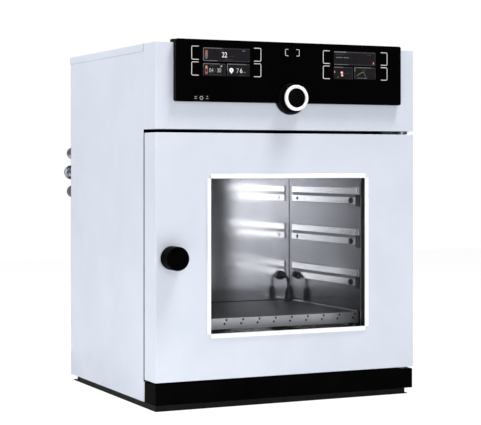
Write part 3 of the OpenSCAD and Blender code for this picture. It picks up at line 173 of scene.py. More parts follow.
@dataclass(frozen=True)
class Finish:
    """A surface with a main colour, a cloudy second tone and a fine grain.

    Args:
        name: Name of the material.
        colour: Main sRGB colour.
        tone: Second sRGB colour, in soft clouds.
        roughness: Middle roughness.
        spread: How far the roughness moves up and down.
        metallic: 1 for bare metal.
        cloud_mm: Size of the clouds.
        grain_mm: Size of the grain. Most real grains are too fine to show in the render, so they are drawn
            at 0.6 mm and coarser.
        bump: Strength of the grain's bump.
        stretch: Scale of the grain along X, Y and Z; a small number draws it out.
        specular: Specular level.
        anisotropy: How far the gloss is drawn out across the grain.
        ior: Refractive index, low for a deep black that takes little sheen at a flat angle.
        relief_mm: Height of the grain.
    """

    name: str
    colour: str
    tone: str
    roughness: float = 0.5
    spread: float = 0.05
    metallic: float = 0.0
    cloud_mm: float = 60.0
    grain_mm: float = 1.5
    bump: float = 0.08
    stretch: tuple[float, float, float] = (1.0, 1.0, 1.0)
    specular: float = 0.5
    anisotropy: float = 0.0
    ior: float = 1.5
    relief_mm: float = 0.4

    def build(self) -> bpy.types.Material:
        """Builds the material.

        Returns:
            The material.
        """
        material = bpy.data.materials.new(self.name)
        material.use_nodes = True
        tree = material.node_tree
        tree.nodes.clear()
        shader = add(
            tree,
            "ShaderNodeBsdfPrincipled",
            {
                "Metallic": self.metallic,
                "Specular IOR Level": self.specular,
                "Anisotropic": self.anisotropy,
                "IOR": self.ior,
            },
        )
        coords = add(tree, "ShaderNodeTexCoord").outputs["Object"]
        self.paint(tree, shader, coords)
        bump = add(
            tree,
            "ShaderNodeBump",
            {"Height": self.relief(tree, coords), "Strength": self.bump, "Distance": self.relief_mm * MM},
        )
        tree.links.new(bump.outputs[0], shader.inputs["Normal"])
        add(tree, "ShaderNodeOutputMaterial", {"Surface": shader.outputs[0]})
        return material

    def paint(self, tree: bpy.types.NodeTree, shader: bpy.types.Node, coords: bpy.types.NodeSocket) -> None:
        """Mixes the two tones in clouds and moves the roughness with them.

        Args:
            tree: Node tree of the material.
            shader: Its shader.
            coords: Coordinates of the pattern.
        """
        clouds = add(
            tree,
            "ShaderNodeTexNoise",
            {"Vector": coords, "Scale": 1 / (self.cloud_mm * MM), "Detail": 3.0},
        )
        share = add(
            tree,
            "ShaderNodeMapRange",
            {"Value": clouds.outputs[0], "From Min": TONE_RANGE[0], "From Max": TONE_RANGE[1]},
        )
        mix = add(
            tree,
            "ShaderNodeMix",
            {0: share.outputs[0], 6: linear(self.colour), 7: linear(self.tone)},
            data_type="RGBA",
        )
        tree.links.new(mix.outputs[2], shader.inputs["Base Color"])
        rough = add(
            tree,
            "ShaderNodeMapRange",
            {
                "Value": clouds.outputs[0],
                "From Min": GLOSS_RANGE[0],
                "From Max": GLOSS_RANGE[1],
                "To Min": max(self.roughness - self.spread, SMOOTHEST),
                "To Max": self.roughness + self.spread,
            },
        )
        tree.links.new(rough.outputs[0], shader.inputs["Roughness"])

    def relief(self, tree: bpy.types.NodeTree, coords: bpy.types.NodeSocket) -> bpy.types.NodeSocket:
        """Makes the fine grain.

        Args:
            tree: Node tree of the material.
            coords: Coordinates of the pattern.

        Returns:
            Height of the surface.
        """
        mapping = add(tree, "ShaderNodeMapping", {"Vector": coords, "Scale": self.stretch})
        grain = add(
            tree,
            "ShaderNodeTexNoise",
            {"Vector": mapping.outputs[0], "Scale": 1 / (self.grain_mm * MM), "Detail": 2.0},
        )
        return grain.outputs[0]

    def change(
        self,
        tree: bpy.types.NodeTree,
        shader: bpy.types.Node,
        where: bpy.types.NodeSocket,
        values: dict[str, tuple[float, float, float, float] | float],
    ) -> None:
        """Gives one part of the surface other colours, gloss or metal.

        Args:
            tree: Node tree of the material.
            shader: Its shader.
            where: 1 on that part and 0 elsewhere.
            values: Name of a shader's input to the linear colour or the number that it has there.
        """
        for name, value in values.items():
            target = shader.inputs[name]
            now = target.links[0].from_socket if target.links else target.default_value
            colour = isinstance(value, tuple)
            first, second, out = (6, 7, 2) if colour else (2, 3, 0)
            mix = add(
                tree,
                "ShaderNodeMix",
                {0: where, first: now, second: value},
                data_type="RGBA" if colour else "FLOAT",
            )
            tree.links.new(mix.outputs[out], target)


def principled(material: bpy.types.Material) -> bpy.types.Node:
    """Shader of a finished material."""
    return next(n for n in material.node_tree.nodes if n.type == "BSDF_PRINCIPLED")


@dataclass(frozen=True)
class EmbossedSheet(Finish):
    """Steel sheet rolled with a low diamond pattern, which gives the casing its soft twinkle.

    Args:
        bump: Strength of the ridges.
        relief_mm: Height of the ridges.
        pitch_mm: Distance between the ridges. The real one is about 3 mm and would not show, so it is drawn
            coarser.
        slant_deg: Slant of the ridges to both sides.
        waver: How far the ridges waver.
    """

    bump: float = 0.25
    relief_mm: float = 0.5
    pitch_mm: float = 5.655
    slant_deg: float = 35.0
    waver: float = 0.6

    def relief(self, tree: bpy.types.NodeTree, coords: bpy.types.NodeSocket) -> bpy.types.NodeSocket:
        """Crosses two slanted waves into low diamonds.

        Args:
            tree: Node tree of the material.
            coords: Coordinates of the pattern.

        Returns:
            Height of the surface.
        """
        waves = []
        scale = math.tau / WAVE_TURN / (self.pitch_mm * MM)
        for turn in (math.radians(self.slant_deg), -math.radians(self.slant_deg)):
            mapping = add(tree, "ShaderNodeMapping", {"Vector": coords, "Rotation": (0.0, turn, turn)})
            wave = add(
                tree,
                "ShaderNodeTexWave",
                {"Vector": mapping.outputs[0], "Scale": scale, "Distortion": self.waver},
                bands_direction="X",
                wave_profile="SIN",
            )
            waves.append(wave.outputs["Fac"])
        return add(tree, "ShaderNodeMath", {0: waves[0], 1: waves[1]}, operation="MULTIPLY").outputs[0]


@dataclass(frozen=True)
class ChamberSteel(Finish):
    """Stainless chamber: ground side walls, and a back wall whose lighter colour is painted light, bright
    enough to mirror the rails.

    Args:
        back: Depth from which the back wall's own roughness and its painted light start, in metres along Y.
        polish: Roughness of the back wall.
        bright: Colour of the back wall, lighter than the side walls' colour: painted light.
        seam: Distance from the middle at which the darkened strip along the back corners starts, in metres.
        seam_colour: Colour of that strip.
    """

    back: float = 0.0
    polish: float = 0.155
    # Lighter colour of the back wall: painted light.
    bright: str = "E8E9EE"
    seam: float = SEAM_X * MM
    seam_colour: str = "1C1C1E"

    def paint(self, tree: bpy.types.NodeTree, shader: bpy.types.Node, coords: bpy.types.NodeSocket) -> None:
        """Paints the walls, gives the back one its own roughness and a lighter colour as painted light, and
        darkens a strip along its corners.

        Args:
            tree: Node tree of the material.
            shader: Its shader.
            coords: Coordinates of the pattern.
        """
        super().paint(tree, shader, coords)
        place = add(tree, "ShaderNodeSeparateXYZ", {"Vector": coords}).outputs
        back = add(tree, "ShaderNodeMath", {0: place["Y"], 1: self.back}, operation="GREATER_THAN")
        aside = add(tree, "ShaderNodeMath", {0: place["X"]}, operation="ABSOLUTE")
        corner = add(tree, "ShaderNodeMath", {0: aside.outputs[0], 1: self.seam}, operation="GREATER_THAN")
        seam = add(
            tree, "ShaderNodeMath", {0: corner.outputs[0], 1: back.outputs[0]}, operation="MULTIPLY"
        )
        # The back wall's lighter colour is painted light; its roughness is its own.
        polished = {"Base Color": linear(self.bright), "Roughness": self.polish}
        self.change(tree, shader, back.outputs[0], polished)
        # Darkens a strip along the back corners.
        self.change(tree, shader, seam.outputs[0], {"Base Color": linear(self.seam_colour)})


@dataclass(frozen=True)
class SplitFinish(Finish):
    """Finish that changes at one plane; the darker side beyond the plane is painted shade, at the rails'
    roots and on the shelf's top.

    Args:
        split: Way in which it changes.
        plane: Place of the plane, in metres.
        beyond: Colour beyond the plane.
        dull: Roughness beyond the plane.
        metal: Metallic share beyond the plane.
    """

    split: Split = Split.DEPTH
    plane: float = 0.0
    beyond: str = "3A3B3D"
    dull: float = 0.5
    metal: float = 0.6

    def paint(self, tree: bpy.types.NodeTree, shader: bpy.types.Node, coords: bpy.types.NodeSocket) -> None:
        """Paints both sides of the plane.

        Args:
            tree: Node tree of the material.
            shader: Its shader.
            coords: Coordinates of the pattern.
        """
        super().paint(tree, shader, coords)
        place = add(tree, "ShaderNodeSeparateXYZ", {"Vector": coords}).outputs[self.split.value]
        if self.split is Split.SIDES:
            place = add(tree, "ShaderNodeMath", {0: place}, operation="ABSOLUTE").outputs[0]
        past = add(tree, "ShaderNodeMath", {0: place, 1: self.plane}, operation="GREATER_THAN")
        values = {"Base Color": linear(self.beyond), "Roughness": self.dull, "Metallic": self.metal}
        self.change(tree, shader, past.outputs[0], values)


@dataclass(frozen=True)
class ClearGlass(Finish):
    """Float glass, seen as a faint dark film with a sharp gloss.

    Args:
        film: Share of the light that the film takes.
    """

    film: float = 0.03

    def build(self) -> bpy.types.Material:
        """Builds the material and lets the film through as alpha.

        Returns:
            The material.
        """
        material = super().build()
        principled(material).inputs["Alpha"].default_value = self.film
        return material


@dataclass(frozen=True)
class Glow(Finish):
    """Printed or lit mark behind the panel's glass, which gives out light of its own and so keeps its tone
    in the black field; on a printed mark that light is a painted glow.

    Args:
        spread: Small, because a print is even.
        cloud_mm: Clouds of about a mark's own size.
        grain_mm: Finest grain that the render shows.
        bump: None, because the marks lie flat behind the glass.
        specular: Low, because the glass in front has the gloss.
        strength: Share of its colour that it gives out by itself.
    """

    spread: float = 0.03
    cloud_mm: float = 4.0
    grain_mm: float = 0.6
    bump: float = 0.0
    specular: float = 0.05
    strength: float = 0.18

    def build(self) -> bpy.types.Material:
        """Builds the material with its own light.

        Returns:
            The material.
        """
        material = super().build()
        shader = principled(material)
        shader.inputs["Emission Color"].default_value = linear(self.colour)
        shader.inputs["Emission Strength"].default_value = self.strength
        return material


# Stainless sheet under a pale coat: cool near-white with a satin gleam.
CASING_SHEET = EmbossedSheet(
    "embossed_steel_sheet", "D9DFE9", "D3D9E4", roughness=0.42, spread=0.04, metallic=0.15,
    cloud_mm=120.0, specular=0.4,
)
# Stainless plate ground upwards: grey walls whose reflections are drawn out along the height.
CHAMBER_STEEL = ChamberSteel(
    "ground_chamber_steel", "A6A7AC", "9B9CA2", roughness=0.13, spread=0.02, metallic=1.0,
    cloud_mm=90.0, grain_mm=0.9, bump=0.05, stretch=(1.0, 1.0, 0.04), anisotropy=0.3,
)
# Polished strip drawn plain white with a clean edge: the white is a painted reflection of a bright room.
TRIM_PAINTED_REFLECTION = Finish(
    "polished_trim", "FFFFFF", "F9FAFB", roughness=0.3, spread=0.03, metallic=0.1, cloud_mm=50.0,
    grain_mm=0.8, bump=0.0,
)
# Polished strip: nearly white towards the middle; its root beside the corner is painted dull grey, painted
# shade in the groove.
RAIL_STRIP_SHADED_ROOT = SplitFinish(
    "bright_rail_strip", "FEFEFF", "F8F9FC", roughness=0.1, spread=0.02, metallic=0.95,
    cloud_mm=40.0, grain_mm=0.8, bump=0.03, stretch=(1.0, 0.1, 1.0), beyond="77787C", dull=0.3,
    metal=0.9, split=Split.SIDES, plane=SEAM_X * MM,
)
# Aluminium shelf: its front edge is cut bright, and the plate behind is painted dark and dull, painted shade
# on its top.
SHELF_PAINTED_TOP_SHADE = SplitFinish(
    "anodised_shelf", "E6E7EC", "DADBE1", roughness=0.36, metallic=0.75, grain_mm=0.8, bump=0.05,
    stretch=(0.1, 1.0, 1.0), beyond="303032", dull=0.5, metal=0.2,
)
# Powder-coated sheet: deep black that takes almost no sheen; on the front frame this black is painted shade
# in the gaps round the door.
BLACK_SHEET = Finish(
    "black_powder_coat", "020202", "050505", cloud_mm=50.0, grain_mm=0.9, bump=0.06, specular=0.05,
    ior=1.2,
)
# Coated floor rail: near-black and duller than the sheet above it.
RAIL_COAT = Finish(
    "dark_rail_coat", "0A0A0B", "101011", roughness=0.6, grain_mm=0.9, bump=0.1, specular=0.1
)
# Galvanised sheet: light grey with wide, faint zinc flowers.
ZINC_SHEET = Finish(
    "galvanised_sheet", "B4B7BB", "A9ACB1", roughness=0.42, spread=0.06, metallic=0.85,
    cloud_mm=22.0, grain_mm=4.0, bump=0.04,
)
# Mill-finish bar: dull grey with darker clouds of scale.
RIB_STEEL = Finish(
    "mill_finish_steel", "6F7073", "5C5D60", spread=0.08, metallic=0.9, cloud_mm=30.0, bump=0.1
)
# Pressed mineral wool: matt yellow-brown with coarse fibres drawn out upwards.
WOOL = Finish(
    "pressed_mineral_wool", "B7A35C", "A38F4C", roughness=0.95, spread=0.03, cloud_mm=18.0,
    grain_mm=2.5, bump=0.6, stretch=(1.0, 1.0, 0.25),
)
# Moulded silicone: nearly black with a soft, even sheen.
SEAL_RUBBER = Finish("silicone_seal", "17171A", "202024", cloud_mm=30.0, grain_mm=1.2, bump=0.06)
# Blackened steel: dark with a thin metallic gleam.
DARK_METAL = Finish(
    "blackened_steel", "1A1A1C", "242427", roughness=0.42, metallic=0.4, cloud_mm=12.0, grain_mm=0.8
)
# Turned steel: bright, with fine lines drawn out along the depth.
FITTING_STEEL = Finish(
    "turned_steel", "A8ABB0", "93969C", roughness=0.3, metallic=1.0, cloud_mm=20.0, grain_mm=0.7,
    stretch=(1.0, 0.1, 1.0),
)
# Machined aluminium: pale, with tool lines drawn out sideways.
FITTING_ALU = Finish(
    "machined_aluminium", "B9BCC1", "A7AAB0", roughness=0.36, metallic=1.0, cloud_mm=30.0,
    grain_mm=0.9, stretch=(0.1, 1.0, 1.0),
)
# Sintered steel: dull grey with a coarse, open grain.
SILENCER_STEEL = Finish(
    "sintered_steel", "7D7E82", "6C6D70", roughness=0.7, spread=0.08, metallic=0.7, cloud_mm=3.0,
    grain_mm=0.6, bump=0.5,
)
# Zinc-plated steel: bright and slightly mottled.
ZINC_SCREW = Finish(
    "zinc_screw", "B4B7BB", "9EA1A6", roughness=0.34, metallic=1.0, cloud_mm=6.0, grain_mm=0.6,
    bump=0.06,
)
# Moulded nylon: black with a soft highlight.
MOULDED_BLACK = Finish(
    "moulded_black", "0C0C0D", "101012", roughness=0.38, cloud_mm=30.0, grain_mm=0.7, bump=0.06,
    specular=0.3,
)
# Solder mask on a circuit board: dark green with a half gloss.
BOARD = Finish(
    "solder_mask", "14502D", "0F4426", roughness=0.4, spread=0.06, cloud_mm=9.0, grain_mm=1.2,
    bump=0.1,
)
# Ground pin: clean bright steel with fine lines along its length.
PIN_STEEL = Finish(
    "ground_pin", "C6C8CC", "B5B8BD", roughness=0.2, spread=0.04, metallic=1.0, cloud_mm=12.0,
    grain_mm=0.6, bump=0.04, stretch=(1.0, 1.0, 0.1),
)
# Blasted steel plate: even satin grey.
HINGE_STEEL = Finish(
    "satin_hinge_steel", "8B8E93", "7A7D82", roughness=0.4, metallic=1.0, cloud_mm=20.0,
    grain_mm=0.8, bump=0.06,
)
# Touch glass printed black from behind: a deep, quiet black.
PANEL_FACE = Finish(
    "black_touch_glass", "020202", "030303", roughness=0.3, spread=0.02, cloud_mm=90.0, grain_mm=2.0,
    bump=0.0, specular=0.02,
)
# Fine-grained ABS moulding: black and matt.
PANEL_BODY = Finish(
    "panel_moulding", "030303", "050505", cloud_mm=40.0, grain_mm=0.8, bump=0.05, specular=0.05
)
# Satin phenolic moulding: deep black, without sheen at its rim.
KNOB_BLACK = Finish(
    "satin_knob_moulding", "020202", "040404", roughness=0.4, spread=0.04, cloud_mm=18.0,
    grain_mm=0.6, bump=0.05, specular=0.04, ior=1.15,
)
# Gloss ABS moulding: clean white with a small highlight.
RING_WHITE = Finish(
    "gloss_white_moulding", "F6F6F7", "EFEFF1", roughness=0.3, spread=0.04, cloud_mm=20.0,
    grain_mm=0.8, bump=0.02,
)
# Gloss ABS moulding: black with a narrow highlight.
KEY_BLACK = Finish(
    "gloss_key_moulding", "030303", "050505", roughness=0.35, spread=0.04, cloud_mm=20.0,
    grain_mm=0.8, bump=0.03, specular=0.05,
)
# Dark coat in the window tunnel: swallows the light round the panes.
LINER_DARK = Finish("dark_liner_coat", "1B1B1C", "141415", roughness=0.6, cloud_mm=40.0, grain_mm=0.9)
# Float glass: barely tinted, so that only its gloss shows.
CLEAR_GLASS = ClearGlass(
    "clear_float_glass", "3A3D3F", "383B3D", roughness=0.03, spread=0.01, cloud_mm=200.0,
    grain_mm=5.0, bump=0.0,
)
# Heat-proof plug moulding: dark with a broad highlight.
PLUG_MOULDING = Finish("plug_moulding", "1C1C1E", "151517", roughness=0.3, cloud_mm=8.0, grain_mm=0.6)
# Rubber sheath: dark grey with a clear line of light along it.
LEAD_RUBBER = Finish(
    "lead_sheath", "2A2A2B", "222223", roughness=0.25, cloud_mm=6.0, grain_mm=0.6, specular=0.8
)
# Print behind the glass: pale warm grey lines with a painted glow of their own, so that they stay pale in
# the shade.
PRINT_PAINTED_GLOW = Glow(
    "printed_mark", "D2CFCC", "C6C3C0", cloud_mm=12.0, bump=0.02, specular=0.5, strength=0.12
)
# Unlit tile of a display: barely lighter than the panel.
SCREEN_TILE = Glow("screen_tile", "181618", "1C1A1D", cloud_mm=12.0)
# Bright part of a line on a tile: middle grey.
SCREEN_EDGE = Glow("screen_line", "6C6C6F", "5C5C60", cloud_mm=9.0)
# Dim part of a line on a tile: dark grey.
SCREEN_DIM = Glow("screen_dim_line", "3A393C", "323134", cloud_mm=9.0)
# Lit figure: pale grey, the brightest of a display.
FIGURE = Glow("screen_figure", "E2E2E2", "D2D2D4", cloud_mm=8.0)
# Half-lit figure: softer grey; on the power key's printed sign its glow is painted light.
FIGURE_DIM = Glow("screen_dim_figure", "A6A6A6", "989898", cloud_mm=8.0)
# Warm display sign: muted brown red.
WARM_MARK = Glow("screen_warm_mark", "8A5F52", "7A5046")
# Cold display sign: muted blue grey.
COLD_MARK = Glow("screen_cold_mark", "56626C", "4A545E")
# Small bright display dot: pale pink.
PALE_MARK = Glow("screen_pale_mark", "D8A094", "C89086")
# Red display sign: deep and dim.
DEEP_RED = Glow("screen_deep_red", "8A2A22", "76201A")
# Drawn curve on a display: olive green.
CURVE_MARK = Glow("screen_curve_mark", "7E8548", "707840")


# Shapes

MITRE_LIMIT = 0.5  # least cosine by which a pen stroke's corner is drawn out
BODY_SIZE = 0.69  # height of a figure as a share of its font size
FIGURE_GAP = 0.92  # distance between figures as a share of the font's own
FIGURE_WIDTH = 0.86  # width of a figure as a share of the font's own
FIGURE_THICK = 0.04  # half the thickness of a figure, in mm
MERGE_MM = 0.01  # distance within which the loose corners of a CAD mesh are one
FLAT_DEG = 0.5  # angle up to which two faces of a CAD mesh are one
EDGE_DEG = 40.0  # angle from which an edge is softened


def rounded_loop(
    cx: float, cz: float, hx: float, hz: float, r: float, steps: int = 6
) -> list[tuple[float, float]]:
    """Corner points of a rectangle with round corners.

    Args:
        cx: Middle along X, in millimetres.
        cz: Middle along Z.
        hx: Half width.
        hz: Half height.
        r: Corner radius.
        steps: Segments of each corner.

    Returns:
        Points in order.
    """
    points = []
    for k, (sx, sz) in enumerate(((1, 1), (-1, 1), (-1, -1), (1, -1))):
        for i in range(steps + 1):
            a = math.radians(90 * k + 90 * i / steps)
            points.append((cx + sx * (hx - r) + r * math.cos(a), cz + sz * (hz - r) + r * math.sin(a)))
    return points


def oval_loop(cx: float, cz: float, rx: float, rz: float, steps: int = 24) -> list[tuple[float, float]]:
    """Points of an oval in the XZ plane, in millimetres."""
    turns = [math.tau * i / steps for i in range(steps)]
    return [(cx + rx * math.cos(a), cz + rz * math.sin(a)) for a in turns]


def stroke_loop(points: Loop, width: float) -> list[tuple[float, float]]:
    """Outline of an open line drawn with a square-ended pen.

    Args:
        points: Points of the line, in millimetres.
        width: Width of the pen.

    Returns:
        Points of the closed outline.
    """
    left, right = [], []
    for i, (x, z) in enumerate(points):
        before = points[max(i - 1, 0)]
        after = points[min(i + 1, len(points) - 1)]
        ahead = Vector((after[0] - x, after[1] - z)).normalized()
        behind = Vector((x - before[0], z - before[1])).normalized()
        d = (ahead + behind).normalized()
        reach = width / 2
        if ahead.length and behind.length:
            reach /= max(d.dot(ahead), MITRE_LIMIT)
        left.append((x - d.y * reach, z + d.x * reach))
        right.append((x + d.y * reach, z - d.x * reach))
    return left + right[::-1]


def linked(name: str, data: bpy.types.ID) -> bpy.types.Object:
    """Links a new object that holds the given data.

    Args:
        name: Name of the object.
        data: Its mesh, curve, lamp or camera.

    Returns:
        The object.
    """
    obj = bpy.data.objects.new(name, data)
    bpy.context.scene.collection.objects.link(obj)
    return obj


def from_bmesh(name: str, bm: bmesh.types.BMesh) -> bpy.types.Object:
    """Turns an editable mesh into an object.

    Args:
        name: Name of the object.
        bm: The editable mesh; it is freed.

    Returns:
        The object.
    """
    mesh = bpy.data.meshes.new(name)
    bm.to_mesh(mesh)
    bm.free()
    return linked(name, mesh)


def evaluated_mesh(obj: bpy.types.Object) -> bpy.types.Mesh:
    """Plain mesh of an object with its curves and modifiers worked out.

    Args:
        obj: The object.

    Returns:
        The mesh.
    """
    bpy.context.view_layer.update()
    graph = bpy.context.evaluated_depsgraph_get()
    return bpy.data.meshes.new_from_object(obj.evaluated_get(graph), depsgraph=graph)


def baked(obj: bpy.types.Object, sharp_deg: float = 35.0) -> bpy.types.Object:
    """Turns an object with curves or modifiers into a plain mesh of the same name at the origin.

    Args:
        obj: The object to bake; it is removed.
        sharp_deg: Edges sharper than this stay sharp.

    Returns:
        The plain mesh object.
    """
    name = obj.name
    mesh = evaluated_mesh(obj)
    mesh.transform(obj.matrix_world)
    bpy.data.objects.remove(obj)
    made = linked(name, mesh)
    shade(made, sharp_deg)
    return made


def shade(obj: bpy.types.Object, sharp_deg: float = 35.0) -> None:
    """Smooths an object's faces and keeps its flat faces flat, by normals weighted with the face area.

    Args:
        obj: The object, with a plain mesh.
        sharp_deg: Edges sharper than this stay sharp.
    """
    obj.data.shade_smooth()
    obj.data.set_sharp_from_angle(angle=math.radians(sharp_deg))
    weigh = obj.modifiers.new("weighted", "WEIGHTED_NORMAL")
    weigh.keep_sharp = True
    weigh.weight = 100
    old = obj.data
    mesh = evaluated_mesh(obj)
    obj.modifiers.remove(weigh)
    obj.data = mesh
    bpy.data.meshes.remove(old)


def flat_mark(loops: Sequence[Loop], y0: float, y1: float) -> bpy.types.Object:
    """Thin plate that faces the front, from closed outlines in the XZ plane; an inner outline makes a hole.

    Args:
        loops: Outlines in millimetres.
        y0: Front face.
        y1: Back face.

    Returns:
        The plate's object.
    """
    curve = bpy.data.curves.new("mark", "CURVE")
    curve.dimensions = "2D"
    curve.fill_mode = "BOTH"
    for loop in loops:
        spline = curve.splines.new("POLY")
        spline.points.add(len(loop) - 1)
        for point, (x, z) in zip(spline.points, loop):
            point.co = (x * MM, z * MM, 0, 1)
        spline.use_cyclic_u = True
    curve.extrude = (y1 - y0) / 2 * MM
    obj = linked("mark", curve)
    obj.matrix_world = Matrix.Translation(at(0, (y0 + y1) / 2, 0)) @ Matrix.Rotation(math.pi / 2, 4, "X")
    return baked(obj)


def lathed(name: str, profile: Loop, steps: int) -> bpy.types.Object:
    """Turned shape that stands on the origin, about the Z axis.

    Args:
        name: Name of the piece.
        profile: Radius and height pairs, in millimetres, from one pole or rim to the other.
        steps: Segments round the axis.

    Returns:
        The shape's object.
    """
    bm = bmesh.new()
    rings = []
    turns = [math.tau * i / steps for i in range(steps)]
    for r, h in profile:
        if r == 0:
            rings.append([bm.verts.new((0, 0, h * MM))])
        else:
            rings.append([bm.verts.new((r * MM * math.cos(a), r * MM * math.sin(a), h * MM)) for a in turns])
    for low, high in zip(rings, rings[1:]):
        for i in range(steps):
            j = (i + 1) % steps
            corners = [low[i % len(low)], low[j % len(low)], high[j % len(high)], high[i % len(high)]]
            unique = list(dict.fromkeys(corners))
            if len(unique) > 2:
                bm.faces.new(unique)
    bmesh.ops.recalc_face_normals(bm, faces=bm.faces)
    obj = from_bmesh(name, bm)
    shade(obj, sharp_deg=32)
    return obj


def figures(text: str, x: float, z: float, height: float, y: float) -> bpy.types.Object:
    """Plain numbers on a screen, as a thin mesh.

    Args:
        text: The numbers.
        x: Left end, in millimetres.
        z: Foot of the figures.
        height: Height of a figure.
        y: Front face.

    Returns:
        The figures' object.
    """
    curve = bpy.data.curves.new("number", "FONT")
    curve.body = text
    curve.size = height * MM / BODY_SIZE
    curve.extrude = FIGURE_THICK * MM
    curve.space_character = FIGURE_GAP
    obj = linked("number", curve)
    upright = Matrix.Rotation(math.pi / 2, 4, "X") @ Matrix.Diagonal((FIGURE_WIDTH, 1, 1, 1))
    obj.matrix_world = Matrix.Translation(at(x, y + FIGURE_THICK, z)) @ upright
    return baked(obj)


def joined(name: str, parts: Sequence[bpy.types.Object]) -> bpy.types.Object:
    """Makes one mesh object of several, all of them at the origin.

    Args:
        name: Name of the joined piece.
        parts: Objects to join; they are removed.

    Returns:
        The joined object.
    """
    bm = bmesh.new()
    for part in parts:
        bm.from_mesh(part.data)
        bpy.data.objects.remove(part)
    obj = from_bmesh(name, bm)
    shade(obj)
    return obj


def welded(node: str) -> bmesh.types.BMesh:
    """Copy of a CAD node's mesh with its loose corners merged.

    Args:
        node: Name of the node.

    Returns:
        The copy, as an editable mesh.
    """
    bm = bmesh.new()
    bm.from_mesh(frame["nodes"][node].data)
    bmesh.ops.remove_doubles(bm, verts=bm.verts, dist=MERGE_MM * MM)
    return bm


def islands(node: str) -> list[tuple[Vector, Vector]]:
    """Separate solids of a CAD node.

    Args:
        node: Name of the node.

    Returns:
        Lowest and highest corner of each solid, in metres.
    """
    bm = welded(node)
    left = set(bm.verts)
    found = []
    while left:
        rim = [left.pop()]
        group = list(rim)
        while rim:
            for edge in rim.pop().link_edges:
                for vert in edge.verts:
                    if vert in left:
                        left.remove(vert)
                        rim.append(vert)
                        group.append(vert)
        low, high = (Vector(pick(v.co[i] for v in group) for i in range(3)) for pick in (min, max))
        found.append((low, high))
    bm.free()
    return found


# Workshop


@dataclass
class Workshop:
    """Dresses CAD nodes and sets new pieces on their bodies.

    Args:
        made: Materials that are built so far, by the names of their finishes.
    """

    made: dict[str, bpy.types.Material] = field(default_factory=dict)

    def material(self, finish: Finish) -> bpy.types.Material:
        """Builds a finish once and hands it out again.

        Args:
            finish: The finish.

        Returns:
            Its material.
        """
        if finish.name not in self.made:
            self.made[finish.name] = finish.build()
        return self.made[finish.name]

    def dress(self, finish: Finish, *nodes: str) -> None:
        """Gives CAD nodes their finish.

        Args:
            finish: The finish.
            nodes: Names of the nodes.
        """
        for name in nodes:
            mesh = frame["nodes"][name].data
            mesh.materials.clear()
            mesh.materials.append(self.material(finish))
            LOG.info("dressed %s in %s", name, finish.name)

    def coat(self, piece: bpy.types.Object, finish: Finish) -> None:
        """Gives a new piece its finish."""
        piece.data.materials.clear()
        piece.data.materials.append(self.material(finish))

    def place(self, piece: bpy.types.Object, finish: Finish, body: Body, slot: str, *nodes: str) -> None:
        """Finishes a new piece and lets it ride on its body.

        Args:
            piece: The piece, in place.
            finish: Its finish.
            body: The body that it moves with.
            slot: The record's material slot; not used.
            nodes: CAD nodes that it stands for.
        """
        self.coat(piece, finish)
        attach(piece, body.value)
        if nodes:
            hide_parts(*nodes)
        LOG.info("placed %s on %s", piece.name, body.value)

    def refine(self, node: str, finish: Finish, edge: float = 0.5, steps: int = 2) -> bpy.types.Object:
        """Makes the finished piece of a CAD node: its own shape with clean faces and softened edges.

        Args:
            node: Name of the node.
            finish: Its finish.
            edge: Width of the softened edges, in millimetres.
            steps: Segments of each edge.

        Returns:
            The piece, which rides on the node's body and stands for the node.
        """
        bm = welded(node)
        bmesh.ops.dissolve_limit(bm, angle_limit=math.radians(FLAT_DEG), verts=bm.verts, edges=bm.edges)
        obj = from_bmesh(f"{node}_look", bm)
        if edge > 0:
            bevel = obj.modifiers.new("softened", "BEVEL")
            bevel.width = edge * MM
            bevel.segments = steps
            bevel.limit_method = "ANGLE"
            bevel.angle_limit = math.radians(EDGE_DEG)
            bevel.use_clamp_overlap = True
        piece = baked(obj, sharp_deg=38)
        slot = next(part["material_slot"] for part in frame["record"]["subparts"] if part["node"] == node)
        self.place(piece, finish, Body(frame["nodes"][node]["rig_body"]), slot, node)
        return piece


